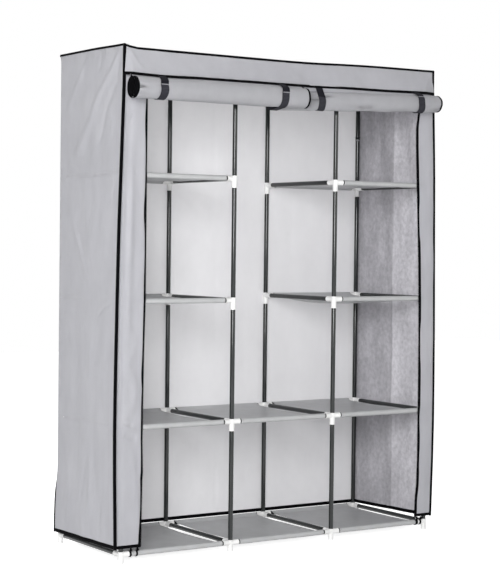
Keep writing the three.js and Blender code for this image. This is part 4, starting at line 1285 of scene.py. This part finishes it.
def strap_part(name, x, line, width, thick, material, slot="strap_webbing", **facts):
    """A band along a line in (y, z), its inner face on the line, with selvedges. x is one for all or one a point."""
    tangents = np.gradient(line, axis=0)
    tangents /= np.linalg.norm(tangents, axis=1)[:, None]
    normals = stacked(tangents[:, 1], -tangents[:, 0])
    if ((line - line.mean(axis=0)) * normals).sum() < 0:
        normals = -normals
    half, lip = width / 2, 1.6 * MM
    rim = [(half, 0), (half, 0.9), (half - 0.4 * MM, 1.12), (half - lip, 1.05), (half - lip - 0.5 * MM, 0.86)]
    section = [(-across, thick * deep) for across, deep in rim]
    section += [(across, thick * deep) for across, deep in rim[::-1]]
    path, out = stacked(x, *line.T), stacked(0, *normals.T)
    return swept(name, path, section, (1, 0, 0), out, material, angle=50, slot=slot, **facts)


# Each strap's place along the cover where it leaves the fascia, at the roll's front and under the roll, and how
# far below the seam its tab ends, in mm
STRAP_PLACES = {
    "left_outer": (-0.5393, -0.5502, -0.546, 43.5), "left_inner": (-0.0739, -0.0823, -0.0828, 41),
    "right_inner": (0.0974, 0.0992, 0.1026, 40), "right_outer": (0.5302, 0.5258, 0.5317, 16),
}
STRAP_GAP, STRAP_STEP = 0.5 * MM, 3 * MM


def make_strap(label, rolls):
    """Webbing from the seam behind, under the roll and up its front, and a tab from the seam down over it."""
    name, (top_x, front_x, low_x, tab_length) = f"strap_{label}", STRAP_PLACES[label]
    line = resampled(strap_outline(front_x, rolls, STRAP_GAP), STRAP_STEP)
    heights = line[:, 1]
    lowest = int(np.argmin(heights))
    stops = [heights[lowest], mix(heights[lowest], SEAM, 0.5), heights[-1]]
    xs = np.interp(heights, stops, [low_x, front_x, top_x])
    xs[:lowest] = low_x
    on_tab = heights > SEAM - tab_length * MM
    on_tab[:lowest] = False
    tab = int(np.argmax(on_tab))
    x = xs[tab]
    pieces = []
    for part, run, material, behind_seam in (
        ("behind", slice(0, lowest + 1), webbing, 4.5), ("front", slice(lowest, tab + 1), webbing, -1),
        ("tab", slice(tab - 1, None), tab_webbing, -1),
    ):
        size = (STRAP_WIDTH, STRAP_THICKNESS)
        piece = strap_part(f"{name}_{part}", xs[run], line[run], *size, material, replaces=[name])
        pieces.append((piece, behind_seam))
    edge, size = resampled(line[tab - 1 : tab + 1], 1 * MM), (STRAP_WIDTH - 1.5 * MM, STRAP_THICKNESS * 1.25)
    pieces.append((strap_part(f"{name}_tab_edge", x, edge, *size, thread_and_highlight, slot=None), -1))
    for piece, behind_seam in pieces:
        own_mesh(piece)


# Zip sliders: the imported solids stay, with a worn metal finish
def finish_sliders():
    for name in ("left_zip_slider", "right_zip_slider", "left_zip_pull", "right_zip_pull"):
        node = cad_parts[name]
        node.data.materials.clear()
        node.data.materials.append(zip_metal)


# Ties of the cover: two round the lowest front rail at each corner, and two rings round the rear right post, the
# lower one pale as a painted highlight for the glint on the tie.
# Each tie has its place along the rail in metres and its width in mm.
TIES = (("left_a", -0.606, 7), ("left_b", -0.582, 6), ("right_a", 0.598, 8), ("right_b", 0.616, 7))
POST_TIE_HEIGHTS = (1.452, 1.462)


def make_ties():
    around, below = TUBE_RADIUS + 1.6 * MM, FRONT - TUBE_RADIUS - 2.4 * MM
    angles = np.linspace(-0.6 * np.pi, 1.35 * np.pi, 40)[::-1]
    ring = stacked(FRONT + around * np.cos(angles), LEVELS[0] + around * np.sin(angles))
    line = resampled(np.concatenate([[[below, HEM + 2 * MM], [below, HEM - 6 * MM]], ring]), 2 * MM)
    turn = np.linspace(0, 2 * np.pi, 20, endpoint=False)
    radial = stacked(np.cos(turn), 0, np.sin(turn))
    for name, x, width in TIES:
        strap_part(f"tie_{name}", x, line, width * MM, 1.4 * MM, binding_cloth, slot="binding")
        knot = radial * [5 * MM, 0, 3.5 * MM] + [x, below - 1.5 * MM, HEM - 4 * MM]
        taped(f"tie_knot_{name}", knot, edge_section(4.2 * MM, 4.6 * MM), radial, (0, -1, 0), closed=True)
    turn = np.linspace(0, 2 * np.pi, 32, endpoint=False)
    radial, around = stacked(np.cos(turn), np.sin(turn), 0), TUBE_RADIUS + 1.2 * MM
    # The lower ring is pale, a painted highlight standing in for a glint on the tie; the upper ring is black.
    looks = ((thread_and_highlight, None), (binding_cloth, "binding"))
    for index, (z, (material, slot)) in enumerate(zip(POST_TIE_HEIGHTS, looks)):
        path = radial * around + stacked(LINES[3], REAR, z + 2 * MM * np.sin(turn + index))
        section = edge_section(1.6 * MM, 5 * MM)
        swept(f"post_tie_{index}", path, section, radial, (0, 0, 1), material, closed=True, slot=slot)


# Stage and light
FLOOR_SIZE, FLOOR_TONE, FLOOR_GLOW, WORLD_LEVEL = 9.0, 0.82, 0.8, 0.34
LAMPS = (
    ("key", (-3.1, -3.6, 1.7), (-0.2, 0, 0.9), (1.6, 1.8), 160),
    ("fill", (2.9, -2.9, 1.2), (0, 0, 0.9), (2.2, 2.0), 9),
    ("back", (-0.35, 2.5, 2.1), (-0.2, 0, 1.5), (0.8, 2.8), 40),
)


def make_stage():
    corners = [(x * FLOOR_SIZE, y * FLOOR_SIZE, 0) for x, y in ((-1, -1), (1, -1), (1, 1), (-1, 1))]
    mesh = new_mesh("floor", corners, [(0, 1, 2, 3)])
    floor = linked(bpy.data.objects.new("floor", mesh))
    tree = Tree(bpy.data.materials.new("floor"), **{"Base Color": grey(FLOOR_TONE), "Roughness": 0.9})
    strength = tree.add("Math", "Value", {0: tree.seen_directly(), 1: FLOOR_GLOW}, operation="MULTIPLY")
    glow = tree.add("Emission", "Emission", {"Color": grey(1), "Strength": strength})
    both = tree.add("AddShader", "Shader", {0: tree.shader.outputs["BSDF"], 1: glow})
    tree.feed(tree.nodes["Material Output"], {"Surface": both})
    mesh.materials.append(tree.owner)


def make_world():
    world = bpy.data.worlds.new("studio")
    bpy.context.scene.world = world
    tree = Tree(world, "Background", Color=grey(1))
    tree.feed(tree.shader, {"Strength": tree.spread(tree.seen_directly(), to_min=WORLD_LEVEL, to_max=1.0)})


def make_lamp(name, place, aim, size, power):
    data = bpy.data.lights.new(name, "AREA")
    data.shape = "RECTANGLE"
    data.size, data.size_y = size
    data.energy = power
    lamp = linked(bpy.data.objects.new(name, data))
    lamp.location = place
    lamp.rotation_mode = "QUATERNION"
    lamp.rotation_quaternion = (Vector(aim) - Vector(place)).to_track_quat("-Z", "Y")


def make_cover():
    sides = [make_side(side, name) for side, name in SIDES]
    back, fascia, roof = make_back(), make_fascia(), make_roof()
    strips = [make_strip(side, name) for side, name in SIDES]
    make_bindings()
    fascia_binding = make_fascia_binding()
    make_hems()
    tapes = [make_zip(side, name) for side, name in SIDES]


def main():
    make_camera()
    make_posts()
    make_rails()
    make_hanging_rail()
    for bay in range(3):
        for level in range(4):
            if has_rail(bay, level):
                make_shelf(bay, level)
    make_cover()
    make_roll(LEFT_ROLL, 11)
    make_roll(RIGHT_ROLL, 12)
    make_drop(LEFT_ROLL)
    make_drop(RIGHT_ROLL)
    make_strap("left_outer", [LEFT_ROLL])
    make_strap("left_inner", [LEFT_ROLL, RIGHT_ROLL])
    make_strap("right_inner", [RIGHT_ROLL])
    make_strap("right_outer", [RIGHT_ROLL])
    finish_sliders()
    make_ties()
    make_stage()
    make_world()
    for lamp in LAMPS:
        make_lamp(*lamp)
    bpy.context.scene.view_settings.view_transform = "Standard"


main()
